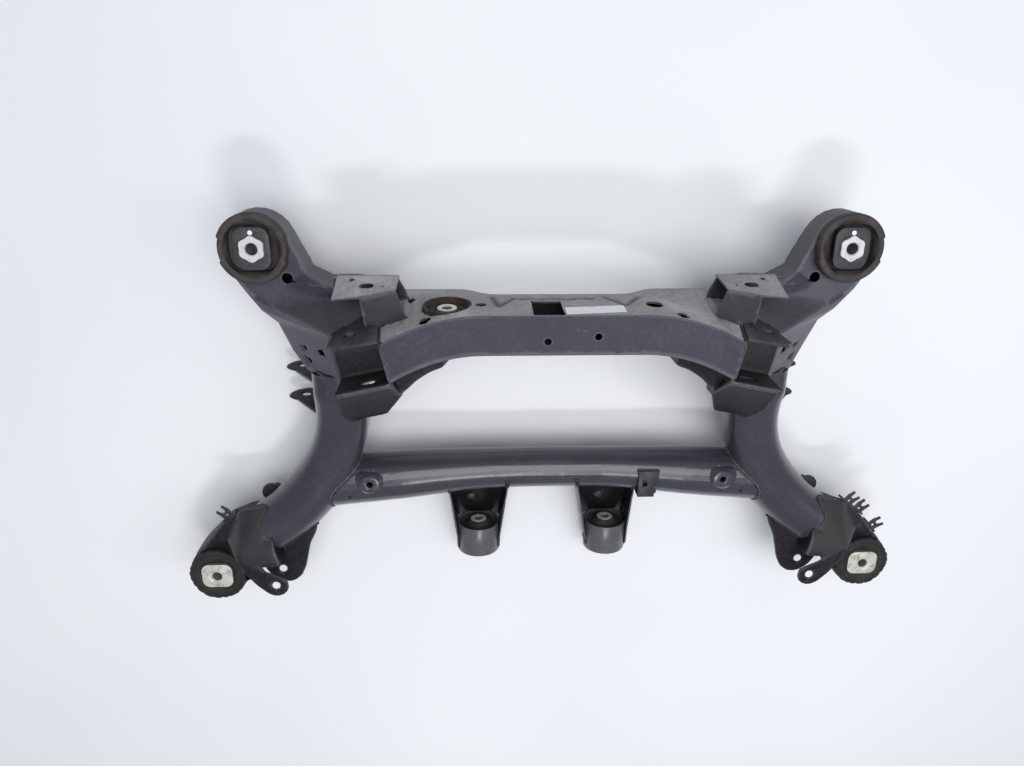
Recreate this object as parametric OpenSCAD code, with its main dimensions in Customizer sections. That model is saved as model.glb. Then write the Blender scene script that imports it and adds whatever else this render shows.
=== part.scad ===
// Rear axle subframe: two bent side tubes, a rear cross tube and an arched front cross member,
// with pressed arms and corners that hold four body bushes and three differential bushes.
// It lies on its back: X to the right, Y towards the front bushes, Z towards the road side.
// Sizes are in millimetres. Right-hand pieces are drawn, and left-hand ones are mirrored.

/* [Sheet and tube] */
// Thickness of the pressed sheet
sheet_t = 3; // [2:0.5:4]
// Wall of the tubes
tube_wall = 3; // [2:0.5:5]
// Thickness of the link plates and ears
plate_t = 4; // [3:0.5:5]

/* [Front body mounts] */
// Distance of each front bush from the middle
front_mount_x = 400; // [380:1:420]
// Position of the front bushes along the frame
front_mount_y = 258; // [245:1:275]
// Height of the arm's face round the front bush
front_face_z = 148; // [140:1:154]
// Radius of the hole that holds the front bush
front_bore_r = 42; // [38:0.5:44]
// Rim of the arm round that hole
front_rim = 5; // [4:0.5:8]
// Height of the arms' back at the side tubes
arm_back_z = 86; // [80:1:90]
// Height of the arms' back at the front bushes
arm_tip_back_z = 102; // [96:1:108]

/* [Rear body mounts] */
// Distance of each rear bush from the middle
rear_mount_x = 516; // [505:1:525]
// Position of the rear bushes along the frame
rear_mount_y = -259.5; // [-270:0.5:-252]
// Height of the corner's face round the rear bush
rear_face_z = 119; // [114:1:124]
// Radius of the hole that holds the rear bush
rear_bore_r = 40; // [36:0.5:42]
// Rim of the corner round that hole
rear_rim = 5.5; // [4.5:0.5:8]
// Height of the back of the corners
corner_back_z = 56; // [50:1:62]

/* [Front cross member] */
// Height of the front wall's face
wall_z = 281; // [270:1:290]
// Front wall's upper edge in the middle
wall_top_y = 198; // [190:1:204]
// Front wall's lower edge in the middle
wall_low_y = 148; // [140:1:156]
// Half length of the straight middle
arch_start_x = 100; // [80:1:110]
// Length over which each end drops
arch_run = 124; // [110:1:140]
// Drop of the upper edge at the end
arch_top_drop = 34; // [24:1:40]
// Drop of the lower edge at the end
arch_low_drop = 40; // [30:1:46]
// Upper back edge
back_top_y = 204; // [201:1:210]
// Depth of the cross member in the middle
cross_mid_depth = 89; // [82:1:96]
// Depth of the cross member at its ends
cross_end_depth = 113; // [107:1:119]

/* [Link pockets] */
// Upper bolt slot of the link pocket, from the middle
link_x = 265; // [260:1:270]
// Position of that slot along the frame
link_y = 158; // [154:1:162]
// Angle of the link bolts to the frame's length
link_yaw = 11.5; // [8:0.5:14]
// Height of the link bolts
link_bolt_z = 243; // [236:1:250]
// Distance between the two walls of the pocket
pocket_gap = 58; // [52:1:60]
// Height of the pocket's floor
pocket_floor_z = 208; // [204:1:212]
// Height of the free edge of the pocket's walls
pocket_top_z = 271; // [264:1:276]
// Width of the bolt slots
slot_w = 12; // [10:0.5:14]
// Length of the bolt slots
slot_l = 18; // [16:0.5:22]

/* [Side and rear tubes] */
// Side tube's distance from the middle at its front end
side_x = 302; // [296:1:308]
// Bend radius of the side tubes
side_bend_r = 290; // [280:1:300]
// Position of the side tubes' bend along the frame
side_bend_y = 50; // [46:1:54]
// Straight length in front of the bend
side_straight = 35; // [28:1:42]
// Half width of the side tubes at the front
side_front_w = 38; // [36:0.5:39]
// Half depth of the side tubes at the front
side_front_d = 44; // [42:0.5:46]
// Radius of the side tubes at the rear
side_rear_r = 42; // [41:0.5:44]
// Height of the side tubes' axis at the rear
side_rear_z = 88; // [84:1:92]
// Rise of the side tubes' axis at the front
side_rise = 42; // [36:1:46]
// Rear tube's position along the frame
rear_tube_y = -101; // [-106:1:-96]
// Radius of the rear tube in the middle
rear_mid_r = 32; // [29:0.5:35]
// Radius of the rear tube at its ends
rear_end_r = 39.5; // [37:0.5:40]

/* [Differential mounts] */
// Distance of each rear differential bush from the middle
diff_x = 107; // [100:1:114]
// Position of the middle of those bushes
diff_y = -247; // [-252:1:-242]
// Outer radius of the rear differential bush rings
diff_ring_r = 35; // [33:0.5:37]
// Length of the rear differential bush rings
diff_ring_l = 50; // [44:1:54]
// Position of the front differential bush, left of the middle
nose_x = 145; // [135:1:150]
// Distance of the front differential bush behind the front wall's face
nose_behind = 51; // [47:1:55]
// Outer radius of the front differential bush
nose_r = 31; // [29:0.5:33]
// Depth of the front differential bush
nose_l = 44; // [38:1:46]

/* [Bolts] */
// Radius of the bolt bore of the front body bushes
front_bolt_r = 8; // [7:0.25:9]
// Radius of the bolt bore of the rear body bushes
rear_bolt_r = 7.3; // [6.5:0.1:8.5]
// Radius of the bolt bore of the differential bushes
diff_bolt_r = 6.5; // [6:0.25:7.5]
// Radius of the bolt holes in the clevis ears
clevis_bolt_r = 6.25; // [5.5:0.25:7]

/* [Hidden] */
$fn = 64;

sheet_colour = "#2b2e35";
tube_colour = "#191b21";
gloss_colour = "#101216";
rubber_colour = "#3b322c";
alloy_colour = "#cfcdc6";
plated_colour = "#3d3f44";

// A cut passes this far beyond the faces that it opens
over = 1;
// Large enough to cut away everything on one side of a plane
far = 400;

function lerp(a, b, t) = a + (b - a) * t;
function clamp01(t) = min(max(t, 0), 1);
function ramp(t) = let (c = clamp01(t)) c * c * (3 - 2 * c);
function xy(p) = [p.x, p.y];
function unit(v) = v / norm(v);
function arc(centre, r, from, to, steps) =
    [for (i = [0 : steps]) let (a = lerp(from, to, i / steps)) centre + r * [cos(a), sin(a)]];
function lift(points, z) = [for (p = points) [p.x, p.y, z]];
function shifted(points, move) = [for (p = points) p + move];

// A closed counter-clockwise outline moved inwards by t, with mitred corners
function inset(outline, t) = [
    for (i = [0 : len(outline) - 1])
        let (
            n = len(outline),
            p = xy(outline[i]),
            d0 = unit(p - xy(outline[(i + n - 1) % n])),
            d1 = unit(xy(outline[(i + 1) % n]) - p),
            n0 = [-d0.y, d0.x],
            n1 = [-d1.y, d1.x]
        )
        p + (n0 + n1) * t / (1 + n0 * n1)
];

// Triangles round one hub point
function fan(hub, chain) = [for (i = [0 : len(chain) - 2]) [hub, chain[i + 1], chain[i]]];

// Skin through a row of rings that have equally many points
module loft(rings) {
    n = len(rings[0]);
    last = (len(rings) - 1) * n;
    sides = [
        for (i = [0 : len(rings) - 2], j = [0 : n - 1])
            let (a = i * n + j, b = i * n + (j + 1) % n)
            each [[a, a + n, b + n], [a, b + n, b]]
    ];
    first_cap = [[for (j = [0 : n - 1]) j]];
    last_cap = [[for (j = [0 : n - 1]) last + n - 1 - j]];
    polyhedron([for (ring = rings) each ring], concat(first_cap, sides, last_cap));
}

// Solid under a folded face: a rim, points within it, and a level back that repeats the folds
module folded_solid(rim, within, faces, back_z) {
    n = len(rim);
    front = concat(rim, within);
    low = len(front);
    walls = [
        for (i = [0 : n - 1])
            let (k = (i + 1) % n)
            each [[i, k, low + k], [i, low + k, low + i]]
    ];
    back = [for (f = faces) [low + f[2], low + f[1], low + f[0]]];
    polyhedron(concat(front, lift(front, back_z)), concat(faces, walls, back));
}

// The same face as a pressed shell with side walls, open at its level back
module folded_shell(rim, within, faces, back_z, t) {
    inner_xy = inset(rim, t);
    inner_rim = [for (i = [0 : len(rim) - 1]) [inner_xy[i].x, inner_xy[i].y, rim[i].z - t]];
    difference() {
        folded_solid(rim, within, faces, back_z);
        folded_solid(inner_rim, shifted(within, [0, 0, -t]), faces, back_z - over);
    }
}

// Long hole along X through a plate that stands across Y
module bolt_slot(l, w, depth) {
    rotate([90, 0, 0])
        translate([0, 0, -depth / 2]) {
            for (side = [-1, 1])
                translate([side * (l - w) / 2, 0, 0])
                    cylinder(d = w, h = depth);
            translate([(w - l) / 2, -w / 2, 0])
                cube([l - w, w, depth]);
        }
}

module tube_ring(outer, inner, h) {
    difference() {
        cylinder(r = outer, h = h);
        translate([0, 0, -over])
            cylinder(r = inner, h = h + 2 * over);
    }
}

module rounded_plate(w, d, r, h) {
    linear_extrude(h)
        union() {
            square([w, d - 2 * r], center = true);
            square([w - 2 * r, d], center = true);
            for (sx = [-1, 1], sy = [-1, 1])
                translate([sx * (w / 2 - r), sy * (d / 2 - r)])
                    circle(r);
        }
}

module left_hand() {
    mirror([1, 0, 0])
        children();
}

// Link frame: origin on the upper bolt slot, X outboard along the pocket, Y along the bolts
module link_frame() {
    translate([link_x, link_y, 0])
        rotate(-link_yaw)
            children();
}
function from_link(p) = [
    link_x + p.x * cos(link_yaw) + p.y * sin(link_yaw),
    link_y - p.x * sin(link_yaw) + p.y * cos(link_yaw)
];

// Front cross member

// The closing wall at the cross member's end stands here in the link frame
end_x = -40;
pocket_in_x = end_x + sheet_t;
function arch(x) = pow(max(abs(x) - arch_start_x, 0) / arch_run, 2);
function wall_top(x) = wall_top_y - arch_top_drop * arch(x);
function wall_low(x) = wall_low_y - arch_low_drop * arch(x);
back_mid_z = wall_z - cross_mid_depth;
back_end_z = wall_z - cross_end_depth;
nose_z = wall_z - nose_behind;
back_step_from = 85;
back_step_run = 45;
back_end_rise = 1.5;
function back_share(x) = ramp((abs(x) - back_step_from) / back_step_run);
function back_z(x) = lerp(back_mid_z, back_end_z, back_share(x));
function back_top(x) = back_top_y + back_end_rise * back_share(x);
cross_half = 250;
cross_steps = 44;
cross_x = [for (i = [0 : cross_steps]) lerp(-cross_half, cross_half, i / cross_steps)];

module cross_member_form() {
    loft([
        for (x = cross_x) [
            [x, wall_top(x), wall_z],
            [x, wall_low(x), wall_z],
            [x, wall_low(x), back_z(x)],
            [x, back_top(x), back_z(x)]
        ]
    ]);
}

module beyond_cross_ends() {
    for (side = [0, 1])
        mirror([side, 0, 0])
            link_frame()
                translate([end_x, -far, 0])
                    cube([far, 2 * far, far]);
}

// Slope of the top face where the front differential bush stands
nose_tilt = atan((back_top(nose_x) - wall_top(nose_x)) / (wall_z - back_z(nose_x)));
nose_y = lerp(back_top(nose_x), wall_top(nose_x),
    (nose_z - back_z(nose_x)) / (wall_z - back_z(nose_x)));

module nose_frame() {
    translate([-nose_x, nose_y, nose_z])
        rotate([nose_tilt - 90, 0, 0])
            children();
}

// Holes in the top face: distance to the right, distance behind the front wall's face, radius
top_holes = [
    [-192, 81, 5],
    [-171, 16, 7],
    [-102, 46, 6.5],
    [118, 46, 11],
    [147, 16, 7]
];
window_x = -19;
window_w = 35;
window_z = wall_z - 41;
wall_hole_r = 4.5;
wall_holes = [[-21, 165.5], [41, 171.4]];

module cross_member_top() {
    t = sheet_t;
    color(sheet_colour)
        difference() {
            loft([
                for (x = cross_x) [
                    [x, wall_top(x), wall_z - t],
                    [x, wall_top(x) - t, wall_z - t],
                    [x, back_top(x) - t, back_z(x) + t],
                    [x, wall_low(x) + t, back_z(x) + t],
                    [x, wall_low(x) + t, back_z(x)],
                    [x, back_top(x), back_z(x)]
                ]
            ]);
            beyond_cross_ends();
            for (h = top_holes)
                translate([h[0], wall_top(h[0]) - 4 * t, wall_z - h[1]])
                    rotate([-90, 0, 0])
                        cylinder(r = h[2], h = far);
            translate([window_x - window_w / 2, wall_top_y - 4 * t, window_z - window_w / 2])
                cube([window_w, far, window_w]);
            nose_frame()
                translate([0, 0, -nose_l])
                    cylinder(r = nose_r, h = far);
        }
}

module cross_member_front() {
    t = sheet_t;
    color(sheet_colour)
        difference() {
            loft([
                for (x = cross_x) [
                    [x, wall_top(x), wall_z],
                    [x, wall_low(x), wall_z],
                    [x, wall_low(x), back_z(x)],
                    [x, wall_low(x) + t, back_z(x)],
                    [x, wall_low(x) + t, wall_z - t],
                    [x, wall_top(x), wall_z - t]
                ]
            ]);
            beyond_cross_ends();
            for (h = wall_holes)
                translate([h.x, h.y, wall_z - 2 * t])
                    cylinder(r = wall_hole_r, h = 4 * t);
        }
}

// Side and rear tubes

side_bend_end = 57;
side_rings = 14;
tube_sides = 24;
side_widen_from = 8;
side_widen_run = 34;
side_rise_angle = 33;
side_front_y = side_bend_y + side_straight;
function side_share(a) = ramp((a - side_widen_from) / side_widen_run);
function side_z(a) = side_rear_z + side_rise * pow(1 - clamp01(a / side_rise_angle), 2);
// The section is a rounded square in front and turns round towards the rear
side_square = 3.2;
function bent(v, e) = sign(v) * pow(abs(v), e);
function side_ring(a, ahead, shrink) = [
    for (j = [0 : tube_sides - 1])
        let (
            b = 360 * j / tube_sides,
            e = 2 / lerp(side_square, 2, side_share(a)),
            half_w = lerp(side_front_w, side_rear_r, side_share(a)) - shrink,
            half_d = lerp(side_front_d, side_rear_r, side_share(a)) - shrink,
            reach = side_bend_r - half_w * bent(cos(b), e)
        )
        [
            side_x + side_bend_r - reach * cos(a),
            side_bend_y + ahead - reach * sin(a),
            side_z(a) + half_d * bent(sin(b), e)
        ]
];

module side_form(shrink, beyond) {
    loft(concat(
        [side_ring(0, side_straight + beyond, shrink)],
        [for (i = [0 : side_rings]) side_ring((side_bend_end + beyond) * i / side_rings, 0, shrink)]
    ));
}

module side_tube() {
    color(tube_colour)
        difference() {
            side_form(0, 0);
            side_form(tube_wall, over);
        }
}

rear_arch = 9.5;
rear_arch_x = 248;
rear_flare_from = 70;
rear_flare_run = 190;
rear_tube_z = 80;
rear_end_lift = 5;
rear_rings = 16;
rear_reach = 350;
function rear_share(x) = ramp((abs(x) - rear_flare_from) / rear_flare_run);
function rear_r(x) = lerp(rear_mid_r, rear_end_r, rear_share(x));
function rear_y(x) = rear_tube_y - rear_arch * pow(x / rear_arch_x, 2);
function rear_z(x) = rear_tube_z + rear_end_lift * rear_share(x);
function rear_ring(x, shrink) = [
    for (j = [0 : tube_sides - 1])
        let (b = 360 * j / tube_sides, r = rear_r(x) - shrink)
        [x, rear_y(x) + r * cos(b), rear_z(x) + r * sin(b)]
];

module rear_form(shrink, beyond) {
    half = rear_reach + beyond;
    loft([for (i = [0 : rear_rings]) rear_ring(lerp(-half, half, i / rear_rings), shrink)]);
}

boss_x = 272;
boss_r = 15;
boss_hole_r = 5;
boss_h = 12;
boss_proud = 2;
boss_y = rear_y(boss_x) + 6;

module boss_seat(r) {
    translate([boss_x, boss_y, rear_z(boss_x) + rear_r(boss_x) + boss_proud - boss_h])
        cylinder(r = r, h = far);
}

module rear_tube() {
    color(tube_colour)
        difference() {
            rear_form(0, 0);
            rear_form(tube_wall, over);
            for (side = [0, 1])
                mirror([side, 0, 0]) {
                    side_form(0, 0);
                    boss_seat(boss_r);
                }
        }
}

module weld_boss() {
    color(tube_colour)
        translate([boss_x, boss_y, rear_z(boss_x) + rear_r(boss_x) + boss_proud - boss_h])
            tube_ring(boss_r, boss_hole_r, boss_h);
}

// Front arms

eye_r = front_bore_r + front_rim;
eye = [front_mount_x, front_mount_y];
eye_steps = 12;
eye_from = -34;
eye_to = 145;
crease_in = [317, 189, front_face_z + 5];
crease_out = [386, 177, front_face_z + 1];
crease_hub = [362, 208, front_face_z - 1];
pocket_base_z = pocket_floor_z - sheet_t;
wall_3_y = -pocket_gap - plate_t / 2;
pocket_out_x = 36;
// The link plate's inner foot lies this far forward of its head
plate_lean = 26;
function at_link(p, z) = let (q = from_link(p)) [q.x, q.y, z];

// Outer ends of the two pocket walls, on the arm's face
base_2_out = at_link([pocket_out_x, 0], pocket_base_z);
base_3_out = at_link([pocket_out_x, wall_3_y], pocket_base_z);

// The arm's end stands this much above the side tube that it closes
arm_end_rise = 4;
arm_end_z = side_z(0) + side_front_d + arm_end_rise;
arm_rim = concat(
    lift(arc(eye, eye_r, eye_from, eye_to, eye_steps), front_face_z),
    [
        [334, 225, front_face_z],
        [307, 211, 165],
        [272, 212, 190],
        at_link([pocket_in_x, 38], 190),
        at_link([pocket_in_x, plate_lean], pocket_base_z),
        at_link([pocket_in_x, wall_3_y], pocket_base_z),
        [228, side_front_y, 196],
        [side_x + 20, side_front_y, arm_end_z],
        [side_x + side_front_w + 4, side_front_y, arm_end_z - 32],
        [369, 108, 120],
        [384, 149, 126],
        [403, 168, 132],
        [418, 199, front_face_z]
    ]
);
arm_within = [crease_hub, crease_in, base_2_out, base_3_out, crease_out];

// Places of the named points in the arm's lists
e1 = eye_steps;
n_rim = len(arm_rim);
i_hub = n_rim;
i_crease = n_rim + 1;
i_2_out = n_rim + 2;
i_3_out = n_rim + 3;
i_crease_out = n_rim + 4;
arm_faces = concat(
    fan(i_hub, concat([for (i = [0 : e1 + 2]) i], [i_crease, i_crease_out, e1 + 13, 0])),
    fan(i_crease, [e1 + 2, e1 + 3, e1 + 4, e1 + 5, i_2_out, i_crease_out]),
    fan(i_crease_out, [e1 + 12, e1 + 13]),
    fan(i_2_out, [e1 + 5, e1 + 6, i_3_out, e1 + 10, e1 + 11, e1 + 12, i_crease_out]),
    fan(i_3_out, [e1 + 6, e1 + 7, e1 + 8, e1 + 9, e1 + 10])
);

// The arm's back rises from the side tube to the front bush
arm_slope = atan((arm_tip_back_z - arm_back_z) / (front_mount_y - side_front_y));

module arm_back_frame() {
    translate([0, side_front_y, arm_back_z])
        rotate([arm_slope, 0, 0])
            children();
}

module below_arm_back() {
    arm_back_frame()
        translate([0, -far, -far])
            cube([2 * far, 2 * far, far]);
}

module arm_form() {
    folded_solid(arm_rim, arm_within, arm_faces, arm_back_z);
}

arm_hole = [361, 216];
arm_hole_r = 7.5;
// Drain slots in the arm's outer slope, cut straight down as deep as the sheet needs
arm_slot_at = [[347, 119, 146], [317, 121.5, 180], [341, 102, 150]];
arm_slot_l = 9;
arm_slot_w = 4;
arm_slot_turn = 52;
arm_slot_depth = 20;

module arm_shell() {
    color(sheet_colour)
        difference() {
            folded_shell(arm_rim, arm_within, arm_faces, arm_back_z, sheet_t);
            below_arm_back();
            translate([eye.x, eye.y, 0])
                cylinder(r = front_bore_r, h = far);
            translate([arm_hole.x, arm_hole.y, front_face_z - 6 * sheet_t])
                cylinder(r = arm_hole_r, h = far);
            for (p = arm_slot_at)
                translate(p)
                    rotate(arm_slot_turn)
                        rotate([90, 0, 0])
                            bolt_slot(arm_slot_l, arm_slot_w, 2 * arm_slot_depth);
        }
}

drain_r = 10;
drain_at = [[352, 170], [290, 130]];

module arm_back_plate() {
    color(sheet_colour)
        difference() {
            arm_back_frame()
                translate([0, 0, -sheet_t])
                    linear_extrude(sheet_t)
                        polygon([for (p = arm_rim) [p.x, (p.y - side_front_y) / cos(arm_slope)]]);
            translate([eye.x, eye.y, 0])
                cylinder(r = front_bore_r, h = far);
            for (d = drain_at)
                translate([d.x, d.y, 0])
                    cylinder(r = drain_r, h = arm_tip_back_z);
        }
}

// Link pockets

// Link plate: it leans back along the cross member's top face and turns upright at its outer end
plate_2_out_x = 30;
plate_corner = 14;
plate_head_z = wall_z - 3;
plate_stations = 4;

// Upper face of the link plate, and everything below it down to the given depth
module link_plate_form(depth, rise) {
    loft([
        for (i = [0 : plate_stations])
            let (
                s = i / plate_stations,
                x = lerp(pocket_in_x, plate_2_out_x, s),
                lean = plate_lean * (1 - s),
                foot = plate_t / 2 + lean,
                edge_z = lerp(plate_head_z, pocket_top_z, s),
                head = plate_t / 2 - lean * rise / (edge_z - pocket_base_z),
                head_z = edge_z + rise
            )
            [
                [x, head, head_z],
                [x, head - depth, head_z],
                [x, foot - depth, pocket_base_z],
                [x, foot, pocket_base_z]
            ]
    ]);
}

module link_plate() {
    color(sheet_colour)
        link_frame()
            difference() {
                link_plate_form(plate_t, 0);
                translate([0, 0, link_bolt_z])
                    bolt_slot(slot_l, slot_w, far / 2);
                translate([plate_2_out_x, far / 2, pocket_top_z - plate_corner])
                    rotate([90, 0, 0])
                        linear_extrude(far)
                            polygon([
                                [-plate_corner, plate_corner],
                                [over, -over],
                                [over, plate_corner + over],
                                [-plate_corner, plate_corner + over]
                            ]);
            }
}

// Folded profile of the pocket: floor, lower wall and skirt, across Y and Z
skirt_slope = 1.5;
skirt_drop = 77;
skirt_in = 34;
skirt_foot_x = [-1, 48, 56];
pocket_lower_x = -5.7;
ridge = [wall_3_y - plate_t / 2, pocket_top_z];
skirt_end = [ridge.x - skirt_drop, pocket_top_z - skirt_slope * skirt_drop];
skirt_depth = sheet_t * sqrt(1 + skirt_slope * skirt_slope);
// Web at the inner end, between the cross member's lower wall and the skirt
skirt_corner = [ridge.x - skirt_in, pocket_top_z - skirt_slope * skirt_in];
end_web_y = -44;
end_web_h = 24;

module pocket_profile() {
    t = sheet_t;
    polygon([
        [-plate_t / 2, pocket_floor_z],
        [ridge.x + plate_t, pocket_floor_z],
        [ridge.x + plate_t, pocket_top_z],
        ridge,
        skirt_end,
        [skirt_end.x, skirt_end.y - skirt_depth],
        [ridge.x, pocket_top_z - skirt_depth],
        [ridge.x, pocket_base_z],
        [-plate_t / 2, pocket_base_z]
    ]);
}

module pocket_shell() {
    color(sheet_colour) {
        difference() {
            link_frame()
                difference() {
                    intersection() {
                        translate([pocket_in_x, 0, 0])
                            rotate([90, 0, 90])
                                linear_extrude(100)
                                    pocket_profile();
                        linear_extrude(far)
                            polygon([
                                [pocket_in_x, over],
                                [pocket_in_x, ridge.x],
                                [pocket_in_x, ridge.x - skirt_in],
                                [skirt_foot_x[0], ridge.x - skirt_drop],
                                [skirt_foot_x[1], ridge.x - skirt_drop],
                                [skirt_foot_x[2], ridge.x - skirt_drop + 10],
                                [skirt_foot_x[2] - 2, ridge.x - skirt_drop + 22],
                                [26, ridge.x],
                                [pocket_out_x, ridge.x + plate_t],
                                [pocket_out_x, over]
                            ]);
                    }
                    translate([pocket_lower_x, wall_3_y, link_bolt_z])
                        bolt_slot(slot_l, slot_w, 3 * plate_t);
                }
            side_form(0, 0);
        }
        intersection() {
            cross_member_form();
            link_frame()
                translate([end_x, -far, 0])
                    cube([sheet_t, 2 * far, far]);
        }
        link_frame()
            translate([end_x, 0, 0])
                rotate([90, 0, 90])
                    linear_extrude(sheet_t)
                        polygon([
                            [end_web_y, pocket_top_z],
                            ridge,
                            skirt_corner,
                            skirt_corner - [0, end_web_h],
                            [end_web_y, pocket_base_z]
                        ]);
    }
}

// Box bracket over the end of the cross member: a slotted top plate, a front plate and a back plate,
// with the end towards the middle left open
box_back_z = 192;
box_front_z = 247;
box_back_y = 230;
// Stations of the top plate from the open end outwards, with the place of its front edge
box_top_run = [[207, 222.9], [252, 214.8], [286, 211.5]];
box_front_foot = [[246, 168], [194, 180]];
box_back_edge = [[196, 194], [199, 209.6], [208.6, box_back_y - sheet_t]];
box_back_out = [[292, box_back_y - sheet_t], [292, 200]];
box_slot = [246, 220];
box_small_hole_r = 3;
box_small_holes = [[222, 226], [266, 203]];

module box_top_plate() {
    t = sheet_t;
    loft([
        for (p = box_top_run) [
            [p.x, p.y, box_front_z],
            [p.x, p.y - t, box_front_z],
            [p.x, box_back_y - t, box_back_z],
            [p.x, box_back_y, box_back_z]
        ]
    ]);
}

module link_box() {
    t = sheet_t;
    under = [0, -t];
    color(sheet_colour)
        difference() {
            union() {
                box_top_plate();
                linear_extrude_between(box_front_z - t, box_front_z)
                    polygon(concat(
                        [box_top_run[0] + under / 2, box_top_run[1] + under / 2],
                        box_front_foot
                    ));
                linear_extrude_between(box_back_z, box_back_z + t)
                    polygon(concat(box_back_edge, box_back_out));
            }
            cross_member_form();
            left_hand()
                cross_member_form();
            arm_form();
            link_frame()
                link_plate_form(far / 2, plate_t + pocket_gap);
            translate([box_slot.x, box_back_y, box_slot.y])
                bolt_slot(slot_l, slot_w, 100);
            for (h = box_small_holes)
                translate([h.x, box_back_y + 50, h.y])
                    rotate([90, 0, 0])
                        cylinder(r = box_small_hole_r, h = 100);
        }
}

// Gusset under the end of the cross member: a sloping fin with a lip folded back along its free edge
gusset_lip = 12;
gusset_root_behind = 22;
// Stations from the tip outwards: distance from the middle, place and depth of the free edge
gusset_run = [
    [141, 133, 36],
    [152, 120, 38],
    [168, 114.5, 38],
    [186, 102.5, 39],
    [202, 85, 46],
    [214, 70, 58],
    [222, 62, 66]
];

module gusset() {
    t = sheet_t;
    root_z = wall_z - gusset_root_behind;
    color(sheet_colour)
        difference() {
            loft([
                for (g = gusset_run)
                    let (x = g[0], y = g[1], z = wall_z - g[2], root_y = wall_low(x) + t)
                    [
                        [x, y + t, z - t],
                        [x, root_y, root_z - t],
                        [x, root_y, root_z],
                        [x, y, z],
                        [x, y, z - gusset_lip],
                        [x, y + t, z - gusset_lip]
                    ]
            ]);
            cross_member_form();
            link_frame()
                translate([end_x, -far, 0])
                    cube([far, 2 * far, far]);
        }
}

// Rear corners

corner_eye = [rear_mount_x, rear_mount_y];
corner_eye_r = rear_bore_r + rear_rim;
corner_split_z = 103;
corner_face_z = 150;
rear_ear = [421, -266];
ear_r = 20;
corner_eye_steps = 12;
corner_rim = concat(
    lift(arc(rear_ear, ear_r, 175, 300, 5), corner_face_z),
    [
        [446, -270, corner_face_z],
        [459, -258, corner_face_z - 3]
    ],
    lift(arc(corner_eye, corner_eye_r, 205, 408, corner_eye_steps), rear_face_z),
    [
        [505, -176, rear_face_z + 4],
        [474, -152, rear_face_z - 3],
        [432, -145, rear_face_z - 6],
        [421, -212, corner_face_z - 11]
    ]
);
// The crown points of the corner, the middle of the bush's seat, and the seat's inner edge
corner_seat_steps = 8;
seat_arc = lift(arc(corner_eye, corner_eye_r, 408, 565, corner_seat_steps), rear_face_z);
corner_within = concat(
    [
        [478, -221, corner_face_z - 3],
        [490, -187, corner_face_z - 13],
        [corner_eye.x, corner_eye.y, rear_face_z]
    ],
    [for (i = [1 : corner_seat_steps - 1]) seat_arc[i]]
);
c_eye = 8;
c_end = c_eye + corner_eye_steps;
n_corner = len(corner_rim);
i_crown = n_corner;
i_shoulder = n_corner + 1;
i_seat = n_corner + 2;
corner_faces = concat(
    fan(i_crown, concat(
        [i_seat + 6, i_seat + 5, i_seat + 4, i_seat + 3, i_shoulder, c_end + 2, c_end + 3, c_end + 4],
        [for (i = [0 : c_eye - 1]) i],
        [i_seat + 6]
    )),
    fan(c_eye - 1, [c_eye, i_seat + 7, i_seat + 6]),
    fan(i_shoulder, [i_seat + 3, i_seat + 2, c_end + 1, c_end + 2]),
    fan(c_end + 1, [i_seat + 2, i_seat + 1, c_end]),
    fan(i_seat, concat(
        [for (i = [c_eye : c_end]) i],
        [for (i = [1 : corner_seat_steps - 1]) i_seat + i],
        [c_eye]
    ))
);

corner_hole = [431, -190];
corner_hole_r = 4.5;

module clevis_hole(at) {
    translate([at.x, at.y, 0])
        cylinder(r = clevis_bolt_r, h = far);
}

module corner_upper_shell() {
    color(sheet_colour)
        difference() {
            folded_shell(corner_rim, corner_within, corner_faces, corner_split_z, sheet_t);
            side_form(0, 0);
            translate([corner_eye.x, corner_eye.y, 0])
                cylinder(r = rear_bore_r, h = far);
            clevis_hole(rear_ear);
            translate([corner_hole.x, corner_hole.y, corner_split_z])
                cylinder(r = corner_hole_r, h = far);
            translate([rear_ear.x - far, rear_ear.y - far + 30, 0])
                cube([far + 34, far, corner_face_z - sheet_t]);
        }
}

lower_flange = [
    [360, -184], [362, -196], [374, -220], [384, -262], [392, -279], [406, -290], [421, -290],
    [438, -280], [450, -262], [440, -230], [400, -200]
];

module corner_lower_shell() {
    t = sheet_t;
    color(sheet_colour)
        difference() {
            union() {
                difference() {
                    linear_extrude_between(corner_back_z, corner_split_z)
                        polygon(lower_outline);
                    linear_extrude_between(corner_back_z + t, corner_split_z + over)
                        polygon(inset(lower_outline, t));
                }
                linear_extrude_between(corner_split_z - t, corner_split_z)
                    polygon(lower_flange);
            }
            side_form(0, 0);
            translate([corner_eye.x, corner_eye.y, 0])
                cylinder(r = rear_bore_r, h = far);
            clevis_hole(rear_ear);
        }
}
lower_outline = concat(
    [[418, -200], [440, -246], [459, -258]],
    arc(corner_eye, corner_eye_r, 205, 408, corner_eye_steps),
    [[503, -182], [470, -168], [440, -165]]
);

module linear_extrude_between(from, to) {
    translate([0, 0, from])
        linear_extrude(to - from)
            children();
}

// Differential brackets and bushes

diff_z = diff_ring_r;
diff_front_y = diff_y + diff_ring_l / 2;
// The flanges bite into the ring's outside by this much, so that their edges seat on it
flange_bite = 2;

module flange_frame(side, spread) {
    translate([diff_x + side * (diff_ring_r - flange_bite), diff_y, 0])
        rotate(-side * spread)
            translate([side > 0 ? 0 : -sheet_t, 0, 0])
                children();
}

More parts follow.
